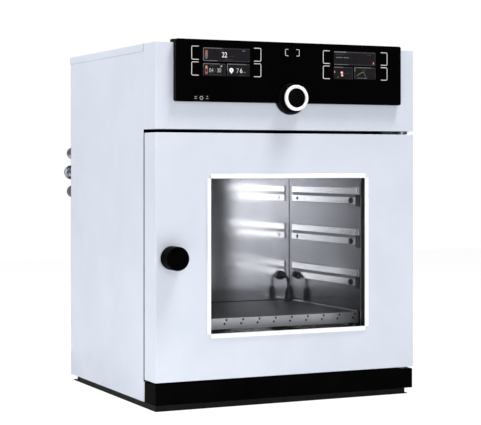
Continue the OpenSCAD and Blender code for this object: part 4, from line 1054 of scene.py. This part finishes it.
@dataclass
class Stand:
    """Copies of one item on many points, stood by a Geometry Nodes group.

    Args:
        shop: Workshop that finishes the copies.
    """

    shop: Workshop

    def group(self) -> bpy.types.NodeTree:
        """Builds the group: points in, turned copies of the item out.

        Returns:
            The node group.
        """
        tree = bpy.data.node_groups.new("stand_on_points", "GeometryNodeTree")
        for name, kind in (
            ("Points", "NodeSocketGeometry"),
            ("Item", "NodeSocketObject"),
            ("Facing", "NodeSocketVector"),
            ("Seed", "NodeSocketInt"),
            ("Finish", "NodeSocketMaterial"),
        ):
            tree.interface.new_socket(name, in_out="INPUT", socket_type=kind)
        tree.interface.new_socket("Copies", in_out="OUTPUT", socket_type="NodeSocketGeometry")
        given = add(tree, "NodeGroupInput").outputs
        item = add(tree, "GeometryNodeObjectInfo", {"Object": given["Item"]})
        stood = add(
            tree,
            "GeometryNodeInstanceOnPoints",
            {"Points": given["Points"], "Instance": item.outputs["Geometry"], "Rotation": given["Facing"]},
        )
        twist = add(
            tree,
            "FunctionNodeRandomValue",
            {"Min": (0.0, 0.0, 0.0), "Max": (0.0, 0.0, math.tau), "Seed": given["Seed"]},
            data_type="FLOAT_VECTOR",
        )
        turned = add(
            tree,
            "GeometryNodeRotateInstances",
            {"Instances": stood.outputs[0], "Rotation": twist.outputs[0], "Local Space": True},
        )
        real = add(tree, "GeometryNodeRealizeInstances", {"Geometry": turned.outputs[0]})
        painted = add(
            tree, "GeometryNodeSetMaterial", {"Geometry": real.outputs[0], "Material": given["Finish"]}
        )
        add(tree, "NodeGroupOutput", {"Copies": painted.outputs[0]})
        return tree

    def stand(
        self,
        name: str,
        item: bpy.types.Object,
        points: Sequence[Vector],
        facing: tuple[float, float, float],
        finish: Finish,
        seed: int,
    ) -> bpy.types.Object:
        """Stands the item on each point.

        Args:
            name: Name of the piece that holds all copies.
            item: Item at the origin, with its own axis along +Z; it is used up.
            points: Places in the row frame, in metres.
            facing: Turn of the item's axis, as Euler angles.
            finish: Finish of the copies.
            seed: Seed of the copies' twist about their own axis.

        Returns:
            One plain mesh object.
        """
        mesh = bpy.data.meshes.new(f"{name}_points")
        mesh.from_pydata([tuple(p) for p in points], [], [])
        obj = linked(name, mesh)
        copies = obj.modifiers.new("copies", "NODES")
        tree = self.group()
        copies.node_group = tree
        values = {"Item": item, "Facing": facing, "Seed": seed, "Finish": self.shop.material(finish)}
        for socket in tree.interface.items_tree:
            if socket.name in values:
                copies[socket.identifier] = values[socket.name]
        made = baked(obj)
        bpy.data.objects.remove(item)
        return made


# Assemblies


@dataclass
class Casing:
    """Outer casing, base, plinth and the steel behind the door.

    Args:
        shop: Workshop that finishes its pieces.
        fold: Width of the folded sheets' soft edges, in millimetres.
    """

    shop: Workshop
    fold: float = 0.6

    def build(self) -> None:
        """Builds every casing piece."""
        for node in ("left_side_panel", "right_side_panel", "header_shell"):
            self.shop.refine(node, CASING_SHEET, edge=self.fold, steps=3)
        self.shop.refine("roof_panel", CASING_SHEET)
        self.shop.refine("front_plinth", BLACK_SHEET, edge=self.fold)
        self.shop.refine("base_rails", RAIL_COAT)
        # The front frame is black so that the gaps round the door read dark: painted shade.
        self.shop.refine("front_frame", BLACK_SHEET, edge=0.3)
        self.shop.refine("rear_panel", ZINC_SHEET, edge=0.4)
        self.shop.dress(ZINC_SHEET, "base_plate", "support_beams", "electronics_tray")
        self.shop.dress(RIB_STEEL, "vessel_ribs")
        self.shop.dress(WOOL, "insulation_jacket", "insulation_back")
        self.shop.dress(BOARD, "power_board", "control_board")
        self.shop.refine("hinge_plates", HINGE_STEEL)
        self.shop.refine("hinge_pins", PIN_STEEL, edge=0.4)
        self.shop.refine("latch_keeper", HINGE_STEEL, edge=0.3)


@dataclass
class Chamber:
    """Vacuum chamber with its seal, rails, stops, screws and socket.

    Args:
        shop: Workshop that finishes its pieces.
        wall_y: Depth of the back wall, in millimetres.
        back_wall_start: How far before the back wall its own roughness and its painted light start.
        shank: Radius of a screw's shank.
        thumb_radius: Radius of a thumb screw's head.
        thumb_height: Height of that head.
        thumb_from: Width from which a screw of the CAD frame is a thumb screw.
        knurls: Number of ridges and grooves round the head, taken together.
        knurl_depth: Depth of a groove, as a share of the radius.
        plain_radius: Radius of a plain screw's head.
        plain_height: Height of that head.
        socket: Radius of its round socket at the top.
        socket_depth: Depth of that socket.
        seed: Seed of the screws' twist.
    """

    shop: Workshop
    wall_y: float = 378.0
    back_wall_start: float = 0.5
    shank: float = 2.0
    thumb_radius: float = 6.0
    thumb_height: float = 2.4
    thumb_from: float = 10.0
    knurls: int = 48
    knurl_depth: float = 0.06
    plain_radius: float = 3.5
    plain_height: float = 1.2
    socket: float = 1.2
    socket_depth: float = 0.8
    seed: int = 5

    def build(self) -> None:
        """Builds the chamber's pieces."""
        steel = replace(CHAMBER_STEEL, back=(self.wall_y + FRONT_Y - self.back_wall_start) * MM)
        self.shop.refine("chamber_vessel", steel, edge=0.8, steps=3)
        self.shop.refine("door_gasket", SEAL_RUBBER)
        self.shop.refine("shelf_rails", RAIL_STRIP_SHADED_ROOT, edge=0.4, steps=3)
        self.shop.refine("rail_stops", DARK_METAL, edge=0.3)
        self.shop.refine("shelf_socket", DARK_METAL, edge=0.4)
        self.screws()

    def screws(self) -> None:
        """Builds the knurled front screws and the plain rear ones, all facing into the chamber."""
        solids = islands("rail_screws")
        parts = []
        for side in (-1, 1):
            for thumb in (True, False):
                here = [
                    (low, high)
                    for low, high in solids
                    if (low.x + high.x) * side > 0 and (high.z - low.z > self.thumb_from * MM) == thumb
                ]
                points = [
                    Vector((low.x if side < 0 else high.x, (low.y + high.y) / 2, (low.z + high.z) / 2))
                    for low, high in here
                ]
                length = (here[0][1].x - here[0][0].x) / MM
                item = self.thumb_screw(length) if thumb else self.plain_screw(length)
                facing = (0.0, -side * math.pi / 2, 0.0)
                name = f"rail_screws_{side}_{thumb}"
                parts.append(Stand(self.shop).stand(name, item, points, facing, DARK_METAL, self.seed))
        piece = joined("rail_screw_heads", parts)
        self.shop.place(piece, DARK_METAL, Body.CASING, "screw_black", "rail_screws")

    def thumb_screw(self, length: float) -> bpy.types.Object:
        """Knurled thumb screw with its head at the top of +Z.

        Args:
            length: Length from the hidden end to the head's top, in millimetres.

        Returns:
            The screw at the origin.
        """
        foot = length - self.thumb_height
        soft = 0.5
        full, rim = self.thumb_radius, self.thumb_radius - soft
        profile = [(0, 0), (self.shank, 0), (self.shank, foot), (rim, foot), (full, foot + 0.4)]
        profile += [(full, length - soft), (rim, length), (0, length)]
        screw = lathed("thumb_screw", profile, steps=self.knurls)
        for vert in screw.data.vertices:
            if math.hypot(vert.co.x, vert.co.y) > (full + rim) / 2 * MM:
                turn = math.atan2(vert.co.y, vert.co.x) / math.tau * self.knurls
                notch = 1 - self.knurl_depth * (round(turn) % 2)
                vert.co.x *= notch
                vert.co.y *= notch
        return screw

    def plain_screw(self, length: float) -> bpy.types.Object:
        """Round-headed screw with its head at the top of +Z.

        Args:
            length: Length from the hidden end to the head's top, in millimetres.

        Returns:
            The screw at the origin.
        """
        foot, full = length - self.plain_height, self.plain_radius
        floor = length - self.socket_depth
        profile = [(0, 0), (self.shank, 0), (self.shank, foot), (full, foot), (full, foot + 0.7)]
        profile += [(full - 0.5, length - 0.2), (full - 1.3, length), (self.socket, length)]
        profile += [(self.socket - 0.2, floor), (0, floor)]
        return lathed("plain_screw", profile, steps=24)


@dataclass
class Shelf:
    """Heated shelf with its plug and the short lead to the socket.

    Args:
        shop: Workshop that finishes its pieces.
        strip_y: Depth up to which the shelf's front edge is cut bright, in millimetres; behind it the shelf
            is painted dark as painted shade.
        radius: Radius of the lead.
        bend: Radius of its bend, along the middle.
        bend_steps: Segments of the bend.
    """

    shop: Workshop
    strip_y: float = 62.7
    radius: float = 3.0
    bend: float = 18.0
    bend_steps: int = 12

    def build(self) -> None:
        """Builds the shelf, its plug and its lead."""
        self.shop.refine("heated_shelf", replace(SHELF_PAINTED_TOP_SHADE, plane=(self.strip_y + FRONT_Y) * MM))
        self.shop.refine("shelf_plug", PLUG_MOULDING, edge=0.4)
        self.lead()

    def lead(self) -> None:
        """Builds the lead as one tube that bends between the socket and the plug."""
        low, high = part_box("shelf_lead")
        x = (low.x + high.x) / 2
        top = Vector((x, high.y, high.z - self.radius * MM))
        foot = Vector((x, low.y + self.radius * MM, low.z))
        bend = self.bend * MM
        path = [top, Vector((x, foot.y + bend, top.z))]
        for i in range(1, self.bend_steps + 1):
            a = math.radians(90 * i / self.bend_steps)
            path.append(Vector((x, foot.y + bend - bend * math.sin(a), top.z - bend + bend * math.cos(a))))
        path.append(foot)
        curve = bpy.data.curves.new("lead", "CURVE")
        curve.dimensions = "3D"
        curve.bevel_depth = self.radius * MM
        curve.bevel_resolution = 4
        curve.use_fill_caps = True
        spline = curve.splines.new("POLY")
        spline.points.add(len(path) - 1)
        for point, place in zip(spline.points, path):
            point.co = (*place, 1)
        piece = baked(linked("shelf_lead_sheath", curve), sharp_deg=50)
        self.shop.coat(piece, LEAD_RUBBER)
        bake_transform(piece)
        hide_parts("shelf_lead")
        LOG.info("placed %s between the socket and the plug", piece.name)


@dataclass
class Door:
    """Front door with its window, its floating inner pane and its knob.

    Args:
        shop: Workshop that finishes its pieces.
        pane_travel: How far the inner pane floats towards the door, in millimetres; not used.
    """

    shop: Workshop
    pane_travel: float = 3.0

    def build(self) -> None:
        """Builds the door's pieces."""
        self.shop.refine("door_shell", CASING_SHEET, edge=0.6, steps=3)
        self.shop.refine("door_back_frame", ZINC_SHEET, edge=0.4)
        self.shop.dress(WOOL, "door_insulation")
        self.shop.refine("window_liner", LINER_DARK, edge=0.3)
        self.shop.refine("window_trim", TRIM_PAINTED_REFLECTION, edge=0.4, steps=3)
        self.shop.refine("outer_pane", CLEAR_GLASS, edge=0.4)
        self.shop.refine("inner_pane", CLEAR_GLASS, edge=0.8)
        self.shop.refine("door_bushes", FITTING_STEEL, edge=0.3)
        self.springs()
        self.shop.refine("pane_clamps", FITTING_STEEL, edge=0.2)
        self.shop.refine("pane_guides", FITTING_STEEL, edge=0.2)
        self.shop.refine("door_knob", KNOB_BLACK, steps=3)
        self.shop.refine("latch_spindle", FITTING_STEEL, edge=0.3)

    def springs(self) -> None:
        """Builds the springs behind the inner pane, which shorten as it floats in the real door; here they
        get a mesh of their own and keep their shape.
        """
        springs = self.shop.refine("pane_springs", FITTING_STEEL, edge=0.0)
        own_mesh(springs)


@dataclass
class Dial:
    """Control dial: a black grip with a white ring and a key in its middle.

    Args:
        shop: Workshop that finishes its pieces.
    """

    shop: Workshop

    def build(self) -> None:
        """Builds the dial's pieces."""
        self.shop.refine("dial_collar", KEY_BLACK, edge=0.6, steps=3)
        self.shop.dress(FITTING_STEEL, "dial_encoder")
        self.shop.refine("dial_grip", KEY_BLACK, steps=3)
        self.shop.refine("dial_ring", RING_WHITE, edge=0.3, steps=3)
        self.shop.refine("confirm_key", KEY_BLACK, edge=0.6, steps=3)


@dataclass
class ControlPanel:
    """Black touch panel with its printed brackets and lit tiles. It bears numbers and plain signs only.

    Sizes are in millimetres, with X from the panel's middle and Z from the table.

    Args:
        shop: Workshop that finishes its pieces.
        face: Front face of the glass.
        lift: Thickness of a print.
        pen: Line width of the brackets beside the displays.
        turn: Radius of their corners.
        turn_steps: Segments of a bracket's corner.
        bracket_x: Back and tips of the outer and the inner brackets.
        bracket_z: Top and bottom of the upper and the lower brackets.
        small_pen: Line width of the two small brackets.
        small_turn: Radius of their corners.
        small_x: Back and tips of the small brackets.
        small_z: Top and bottom of the small brackets.
        tile_turn: Corner radius of a tile.
        inset: Distance of an edge line's ends from the tile's corners.
        shortest: Length up to which a line is left out.
        end_ratio: Width of a level line, divided by the radius of its ends.
        post_turn: Corner radius of an upright line.
        key_x: Middle of the power key's sign along X.
        key_z: Middle of that sign along Z.
        key_lift: How far the key stands proud of the glass.
        prints: Marks made so far, by the names of their finishes.
        finishes: Finishes of those marks, by name.
    """

    shop: Workshop
    face: float = -12.0
    lift: float = 0.06
    pen: float = 1.25
    turn: float = 2.2
    turn_steps: int = 4
    bracket_x: Loop = ((208.2, 193.4), (65.7, 80.6))
    bracket_z: Loop = ((669.9, 644.4), (640.8, 615.3))
    small_pen: float = 1.0
    small_turn: float = 1.4
    small_x: tuple[float, float] = (15.2, 8.5)
    small_z: tuple[float, float] = (669.8, 656.7)
    tile_turn: float = 1.2
    inset: float = 0.4
    shortest: float = 0.5
    end_ratio: float = 2.2
    post_turn: float = 0.1
    key_x: float = -188.2
    key_z: float = 574.2
    key_lift: float = 0.3
    prints: dict[str, list[bpy.types.Object]] = field(default_factory=dict)
    finishes: dict[str, Finish] = field(default_factory=dict)

    def build(self) -> None:
        """Builds the housing, the glass, the key and every mark."""
        self.shop.refine("panel_housing", PANEL_BODY)
        self.shop.refine("panel_glass", PANEL_FACE, edge=0.3)
        self.shop.dress(DARK_METAL, "displays")
        self.shop.refine("power_key", KEY_BLACK, edge=0.2)
        self.brackets()
        self.left_display()
        self.right_display()
        self.power_signs()
        for name, parts in self.prints.items():
            piece = joined(f"marks_{name}", parts)
            self.shop.place(piece, self.finishes[name], Body.CASING, "display_face")

    def mark(self, finish: Finish, loops: Sequence[Loop], level: int = 0) -> None:
        """Adds a flat mark on the glass.

        Args:
            finish: Its finish.
            loops: Its outlines.
            level: How many prints lie below it.
        """
        y1 = self.face - level * self.lift
        self.keep(finish, flat_mark(loops, y1 - self.lift, y1))

    def number(self, text: str, x: float, z: float, height: float, finish: Finish) -> None:
        """Adds plain figures on a tile."""
        self.keep(finish, figures(text, x, z, height, self.face - 2 * self.lift))

    def keep(self, finish: Finish, part: bpy.types.Object) -> None:
        """Keeps a mark with the others of its finish."""
        self.prints.setdefault(finish.name, []).append(part)
        self.finishes[finish.name] = finish

    def brackets(self) -> None:
        """Prints the four pairs of brackets beside the displays and the two small ones in the middle."""
        for side in (-1, 1):
            for back, tip in self.bracket_x:
                for heights in self.bracket_z:
                    self.bracket(side * back, side * tip, heights, self.pen, self.turn)
        back, tip = self.small_x
        for side in (-1, 1):
            self.bracket(side * back, side * tip, self.small_z, self.small_pen, self.small_turn)

    def bracket(self, back: float, tip: float, heights: tuple[float, float], width: float, r: float) -> None:
        """Prints one bracket.

        Args:
            back: X of its upright line's outer side.
            tip: X of its two ends.
            heights: Upper and lower side.
            width: Line width.
            r: Radius of its corners.
        """
        way = 1 if tip > back else -1
        x = back + way * width / 2
        z1, z0 = heights[0] - width / 2, heights[1] + width / 2
        line = [(tip, z1)]
        for start, cz in ((90, z1 - r), (180, z0 + r)):
            for i in range(self.turn_steps + 1):
                a = math.radians(start + 90 * i / self.turn_steps)
                line.append((x + way * (r + r * math.cos(a)), cz + r * math.sin(a)))
        line.append((tip, z0))
        self.mark(PRINT_PAINTED_GLOW, [stroke_loop(line, width)])

    def tile(
        self, x0: float, x1: float, z0: float, z1: float, lines: dict[Side, tuple[float, float]]
    ) -> None:
        """Lights one tile and the lines along its edges.

        Args:
            x0: Left end.
            x1: Right end.
            z0: Lower side.
            z1: Upper side.
            lines: For each lit edge the line's width and the share of it that is bright.
        """
        outline = rounded_loop((x0 + x1) / 2, (z0 + z1) / 2, (x1 - x0) / 2, (z1 - z0) / 2, self.tile_turn)
        self.mark(SCREEN_TILE, [outline])
        left, right, low, high = x0 + self.inset, x1 - self.inset, z0 + self.inset, z1 - self.inset
        for edge, (width, share) in lines.items():
            if edge in (Side.TOP, Side.LOW):
                z = z1 - width / 2 if edge is Side.TOP else z0 + width / 2
                split = left + (right - left) * share
                self.bar(SCREEN_EDGE, left, split, z, width)
                self.bar(SCREEN_DIM, split, right, z, width)
            else:
                x = x0 + width / 2 if edge is Side.LEFT else x1 - width / 2
                split = high - (high - low) * share
                self.post(SCREEN_EDGE, x, split, high, width)
                self.post(SCREEN_DIM, x, low, split, width)

    def bar(self, finish: Finish, x0: float, x1: float, z: float, width: float) -> None:
        """Lights a level line on a tile, if it has any length."""
        if x1 - x0 > self.shortest:
            r = min(width, x1 - x0) / self.end_ratio
            self.mark(finish, [rounded_loop((x0 + x1) / 2, z, (x1 - x0) / 2, width / 2, r)], 1)

    def post(self, finish: Finish, x: float, z0: float, z1: float, width: float) -> None:
        """Lights an upright line on a tile, if it has any length."""
        if z1 - z0 > self.shortest:
            self.mark(finish, [rounded_loop(x, (z0 + z1) / 2, width / 2, (z1 - z0) / 2, self.post_turn)], 1)

    def dot(self, finish: Finish, x: float, z: float, rx: float, rz: float, level: int = 1) -> None:
        """Lights a round or oval dot on a tile."""
        self.mark(finish, [oval_loop(x, z, rx, rz)], level)

    def left_display(self) -> None:
        """Lights the left display: one wide tile over two small ones."""
        wide = {Side.TOP: (1.3, 0.4), Side.LOW: (1.3, 0.3), Side.LEFT: (1.5, 1.0)}
        self.tile(-184.7, -89.0, 642.6, 667.2, wide)
        lower_left = {Side.TOP: (1.2, 0.75), Side.LEFT: (1.0, 0.25), Side.RIGHT: (0.7, 0.0)}
        self.tile(-184.7, -139.6, 615.2, 638.2, lower_left)
        self.tile(-136.1, -89.4, 615.6, 638.7, {Side.TOP: (1.5, 0.85), Side.LEFT: (1.4, 0.55)})
        column = -178.1
        for low, high in ((646.7, 662.7), (618.2, 634.6)):
            self.mark(WARM_MARK, [rounded_loop(column, (low + high) / 2, 2.7, (high - low) / 2, 2.6)], 1)
        self.dot(COLD_MARK, column, 649.6, 2.9, 3.2, 2)
        self.dot(SCREEN_EDGE, column, 649.2, 1.4, 1.6, 3)
        self.dot(SCREEN_TILE, column, 625.2, 1.8, 2.6, 2)
        self.dot(PALE_MARK, column, 630.8, 1.2, 1.6, 2)
        self.number("22", -147.1, 650.2, 9.6, FIGURE)
        self.number("04", -172.9, 621.9, 7.6, FIGURE_DIM)
        self.number("30", -157.1, 622.1, 7.6, FIGURE_DIM)
        self.number("7", -117.3, 621.9, 8.6, FIGURE_DIM)
        self.number("6", -109.9, 621.9, 8.6, FIGURE)
        for x0, x1, z, width in (
            (-141.5, -124.0, 646.0, 1.3),
            (-149.3, -142.2, 663.2, 1.3),
            (-131.6, -128.4, 652.0, 1.3),
            (-126.6, -123.4, 652.4, 1.3),
            (-172.3, -147.2, 617.9, 0.8),
            (-112.3, -98.2, 617.9, 0.8),
            (-171.0, -161.0, 634.0, 0.8),
        ):
            self.bar(SCREEN_DIM, x0, x1, z, width)
        self.bar(SCREEN_EDGE, -105.2, -98.9, 663.2, 1.5)
        self.bar(SCREEN_EDGE, -103.4, -97.6, 623.3, 1.5)
        for z in (624.0, 627.6):
            self.dot(SCREEN_EDGE, -160.0, z, 0.6, 0.6)
        self.mark(FIGURE_DIM, [[(-151.0, 632.2), (-146.5, 632.2), (-146.5, 636.2)]], 1)
        self.pin(-127.3, 626.7, 4.3)

    def pin(self, x: float, z: float, r: float) -> None:
        """Lights a round sign with a point below and a dark middle.

        Args:
            x: Middle of its round part.
            z: Height of that middle.
            r: Its radius.
        """
        turns = [math.radians(a) for a in range(-35, 216, 10)]
        loop = [(x + r * math.cos(a), z + r * math.sin(a)) for a in turns]
        self.mark(FIGURE, [[*loop, (x, z - 1.5 * r)]], 1)
        self.dot(SCREEN_TILE, x + 0.2, z - 0.2, 1.0, 1.0, 2)

    def right_display(self) -> None:
        """Lights the right display: one wide tile over a round sign and a curve."""
        wide = {Side.TOP: (2.2, 0.3), Side.LOW: (1.2, 0.35), Side.RIGHT: (0.8, 0.0)}
        self.tile(89.4, 181.2, 643.2, 668.8, wide)
        self.tile(89.4, 130.8, 615.5, 639.2, {Side.TOP: (1.4, 0.5), Side.RIGHT: (0.7, 0.0)})
        lower_right = {Side.TOP: (1.5, 0.8), Side.LEFT: (1.9, 0.35), Side.RIGHT: (0.8, 0.0)}
        self.tile(134.5, 181.2, 616.2, 639.6, lower_right)
        for finish, x0, x1, z, width in (
            (SCREEN_EDGE, 94.2, 108.4, 657.2, 1.6),
            (SCREEN_EDGE, 110.6, 122.6, 657.2, 1.6),
            (SCREEN_DIM, 94.8, 111.0, 662.9, 1.2),
            (SCREEN_DIM, 162.5, 171.0, 663.2, 1.2),
            (SCREEN_DIM, 115.0, 122.4, 627.0, 1.2),
            (SCREEN_DIM, 152.5, 160.6, 633.7, 1.2),
            (SCREEN_EDGE, 140.0, 162.8, 618.6, 0.9),
        ):
            self.bar(finish, x0, x1, z, width)
        self.dot(DEEP_RED, 176.6, 648.4, 2.0, 3.4)
        self.dot(PALE_MARK, 176.9, 647.6, 0.9, 1.8, 2)
        self.dot(PALE_MARK, 91.0, 629.4, 0.8, 2.1)
        self.dot(DEEP_RED, 107.6, 626.0, 4.2, 5.2)
        self.dot(FIGURE, 106.5, 628.3, 2.2, 2.2, 2)
        self.dot(FIGURE, 107.4, 622.9, 1.8, 1.8, 2)
        self.dot(CURVE_MARK, 98.7, 619.6, 0.8, 1.1)
        top = (155.6, 630.0)
        foot = [(139.9, 623.2), (143.0, 624.6), (145.2, 627.0)]
        rise = [(148.4, 627.6), (150.6, 629.4), (153.6, 630.4)]
        self.mark(CURVE_MARK, [stroke_loop([*foot, *rise, top], 0.9)], 1)
        self.mark(SCREEN_EDGE, [stroke_loop([top, (158.0, 624.8), (159.8, 620.4)], 0.7)], 1)

    def power_signs(self) -> None:
        """Prints the plain signs on and round the power key: a ring with a tick, a dot and three dashes."""
        x, z = self.key_x, self.key_z
        shapes = [
            [oval_loop(x, z, 3.5, 3.5, 32), oval_loop(x, z, 2.5, 2.5, 32)],
            [rounded_loop(x, z + 2.7, 1.0, 1.0, 0.3)],
            [oval_loop(x + 11.7, z + 2.9, 1.1, 1.1, 16)],
        ]
        for dx, dz in ((-11.5, 2.1), (-11.5, -1.1), (11.7, -1.1)):
            shapes.append([stroke_loop([(x + dx - 2.2, z + dz), (x + dx + 2.2, z + dz)], 0.9)])
        back = self.face - self.key_lift
        parts = [flat_mark(loops, back - self.lift, back) for loops in shapes]
        sign = joined("power_ring_sign", parts)
        # The printed sign glows with the dim figures' finish: painted light, as a print gives no light.
        self.shop.place(sign, FIGURE_DIM, Body.POWER, "display_face")


@dataclass
class RearFittings:
    """Ports, valves, pipes and connectors at the back.

    Args:
        shop: Workshop that finishes its pieces.
        shank: Radius of a screw's shank, in millimetres.
        head_height: Height of a screw's head.
        cross_width: Width of the cross recess's slots.
        cross_depth: Depth of the cross recess.
    """

    shop: Workshop
    shank: float = 2.0
    head_height: float = 2.4
    cross_width: float = 0.7
    cross_depth: float = 1.2

    def build(self) -> None:
        """Builds the rear fittings."""
        self.shop.refine("chamber_pipe", FITTING_STEEL, edge=0.2)
        self.shop.refine("valve_manifold", FITTING_ALU, edge=0.4)
        self.shop.refine("solenoid_valves", MOULDED_BLACK)
        self.shop.refine("pressure_sensor", FITTING_STEEL, edge=0.4)
        self.shop.refine("vacuum_flange", FITTING_STEEL, edge=0.3)
        self.shop.refine("gas_nozzle", FITTING_STEEL, edge=0.3)
        self.shop.refine("air_silencer", SILENCER_STEEL, edge=0.4)
        self.shop.refine("bulkhead_nuts", FITTING_STEEL, edge=0.4)
        self.shop.refine("mains_inlet", MOULDED_BLACK, edge=0.4)
        self.screws()

    def screws(self) -> None:
        """Builds the cross-recessed casing screws and the inlet's two."""
        parts = []
        facing = (-math.pi / 2, 0.0, 0.0)
        for low, high in sorted(islands("casing_screws"), key=lambda s: (s[0].z, s[0].x)):
            item = self.screw((high.y - low.y) / MM, (high.x - low.x) / MM / 2)
            point = Vector(((low.x + high.x) / 2, low.y, (low.z + high.z) / 2))
            seed = len(parts)
            name = f"casing_screw_{seed}"
            parts.append(Stand(self.shop).stand(name, item, [point], facing, ZINC_SCREW, seed))
        piece = joined("casing_screw_heads", parts)
        self.shop.place(piece, ZINC_SCREW, Body.CASING, "screw_zinc", "casing_screws")

    def screw(self, length: float, head: float) -> bpy.types.Object:
        """Pan-headed screw with a cross recess, its head at the top of +Z.

        Args:
            length: Length from the hidden end to the head's top, in millimetres.
            head: Radius of the head.

        Returns:
            The screw at the origin.
        """
        foot = max(length - self.head_height, 0.0)
        shank = min(self.shank, head)
        profile = [(0, 0), (shank, 0), (shank, foot), (head, foot), (head, length - 1.1)]
        profile += [(head * 0.9, length - 0.5), (head * 0.62, length - 0.12), (0, length)]
        body = lathed("casing_screw", profile, steps=32)
        bm = bmesh.new()
        for turn in (0, 90):
            slot = bmesh.ops.create_cube(bm, size=1.0)["verts"]
            size = (head * 1.05 * MM, self.cross_width * MM, 2 * self.cross_depth * MM)
            bmesh.ops.scale(bm, vec=size, verts=slot)
            bmesh.ops.rotate(bm, matrix=Matrix.Rotation(math.radians(turn), 3, "Z"), verts=slot)
            bmesh.ops.translate(bm, vec=(0, 0, length * MM), verts=slot)
        cutter = from_bmesh("cross", bm)
        cut = body.modifiers.new("recess", "BOOLEAN")
        cut.object = cutter
        cut.operation = "DIFFERENCE"
        cut.solver = "EXACT"
        cut.use_self = True
        made = baked(body, sharp_deg=30)
        bpy.data.objects.remove(cutter)
        return made


# Studio


@dataclass(frozen=True)
class Lamp:
    """Soft square lamp that looks at the oven's middle.

    Args:
        name: Name of the lamp.
        place: Its place, in metres.
        size: Side of its square, in metres.
        power: Power in watts.
    """

    name: str
    place: tuple[float, float, float]
    size: float
    power: float


KEY_LAMP = Lamp("key_light", (0.6, -1.0, 3.0), size=0.8, power=70)
SIDE_LAMP = Lamp("side_light", (-2.3, 0.4, 2.9), size=1.2, power=88)
# Its mirror image in the chamber's polished back wall lights the rails behind the window.
FRONT_LAMP = Lamp("front_softbox", (-0.72, -3.1, 0.85), size=1.5, power=25)


@dataclass
class Studio:
    """Pale floor, soft light and the photograph's camera.

    Args:
        lamps: Its lamps.
        target: Point that the lamps look at, in metres.
        camera_at: Place of the camera, in metres.
        turn_deg: Turn of the camera about Z.
        lens: Focal length on a 36 mm sensor.
        shift: Vertical shift.
        ambient: Strength of the soft light from all round.
        floor_half: Half the floor's width, in metres.
        floor_drop: How far the floor lies below the oven's feet, in metres.
        paper_glow: Strength of the floor's own white, as the camera sees it.
        paper_share: Share of that white in what the camera sees of the floor.
    """

    lamps: tuple[Lamp, ...] = (KEY_LAMP, SIDE_LAMP, FRONT_LAMP)
    target: tuple[float, float, float] = (0.0, 0.0, 0.33)
    camera_at: tuple[float, float, float] = (-1.30958, -2.81124, 0.45333)
    turn_deg: float = -25.23
    lens: float = 113.22
    shift: float = -0.1017
    ambient: float = 0.26
    floor_half: float = 4.0
    floor_drop: float = 0.0004
    paper_glow: float = 1.12
    paper_share: float = 0.82

    def build(self) -> None:
        """Builds the studio."""
        self.world()
        self.floor()
        for lamp in self.lamps:
            self.light(lamp)
        self.camera()

    def world(self) -> None:
        """White to the camera, soft grey-white light to all else."""
        world = bpy.data.worlds.new("studio")
        world.use_nodes = True
        bpy.context.scene.world = world
        tree = world.node_tree
        tree.nodes.clear()
        seen = add(tree, "ShaderNodeLightPath").outputs["Is Camera Ray"]
        white = add(tree, "ShaderNodeBackground", {"Color": linear("FFFFFF"), "Strength": 1.0})
        soft = add(tree, "ShaderNodeBackground", {"Color": linear("F4F7FC"), "Strength": self.ambient})
        mixed = add(tree, "ShaderNodeMixShader", {0: seen, 1: soft.outputs[0], 2: white.outputs[0]})
        add(tree, "ShaderNodeOutputWorld", {"Surface": mixed.outputs[0]})

    def floor(self) -> None:
        """Large floor of white paper that stays near white and keeps a faint shadow."""
        bm = bmesh.new()
        bmesh.ops.create_grid(bm, x_segments=1, y_segments=1, size=self.floor_half)
        bmesh.ops.translate(bm, vec=(0, 0, -self.floor_drop), verts=bm.verts)
        floor = from_bmesh("studio_floor", bm)
        material = bpy.data.materials.new("floor_paper")
        material.use_nodes = True
        tree = material.node_tree
        tree.nodes.clear()
        white = linear("FFFFFF")
        paper = add(tree, "ShaderNodeBsdfPrincipled", {"Base Color": white, "Roughness": 0.4}).outputs[0]
        lit = add(tree, "ShaderNodeEmission", {"Color": white, "Strength": self.paper_glow}).outputs[0]
        seen = add(tree, "ShaderNodeLightPath").outputs["Is Camera Ray"]
        share = add(tree, "ShaderNodeMath", {0: seen, 1: self.paper_share}, operation="MULTIPLY")
        mixed = add(tree, "ShaderNodeMixShader", {0: share.outputs[0], 1: paper, 2: lit})
        add(tree, "ShaderNodeOutputMaterial", {"Surface": mixed.outputs[0]})
        floor.data.materials.append(material)

    def light(self, lamp: Lamp) -> None:
        """Hangs a lamp.

        Args:
            lamp: The lamp.
        """
        data = bpy.data.lights.new(lamp.name, "AREA")
        data.shape = "SQUARE"
        data.size = lamp.size
        data.energy = lamp.power
        obj = linked(lamp.name, data)
        obj.location = lamp.place
        aim = Vector(self.target) - Vector(lamp.place)
        obj.rotation_euler = aim.to_track_quat("-Z", "Y").to_euler()

    def camera(self) -> None:
        """Sets the camera that was solved from the photograph."""
        data = bpy.data.cameras.new("photo_camera")
        data.lens = self.lens
        data.sensor_width = 36.0
        data.shift_y = self.shift
        data.clip_end = 50
        obj = linked("photo_camera", data)
        obj.location = self.camera_at
        obj.rotation_euler = (math.radians(90), 0.0, math.radians(self.turn_deg))
        bpy.context.scene.camera = obj
        bpy.context.scene.view_settings.view_transform = "Standard"


def main() -> None:
    """Builds the oven's looks and the studio."""
    logging.basicConfig(level=logging.INFO, format="%(message)s")
    shop = Workshop()
    for assembly in (
        Casing(shop),
        Chamber(shop),
        Shelf(shop),
        Door(shop),
        ControlPanel(shop),
        Dial(shop),
        RearFittings(shop),
        Studio(),
    ):
        assembly.build()
        LOG.info("built %s", type(assembly).__name__)


if __name__ == "__main__":
    main()
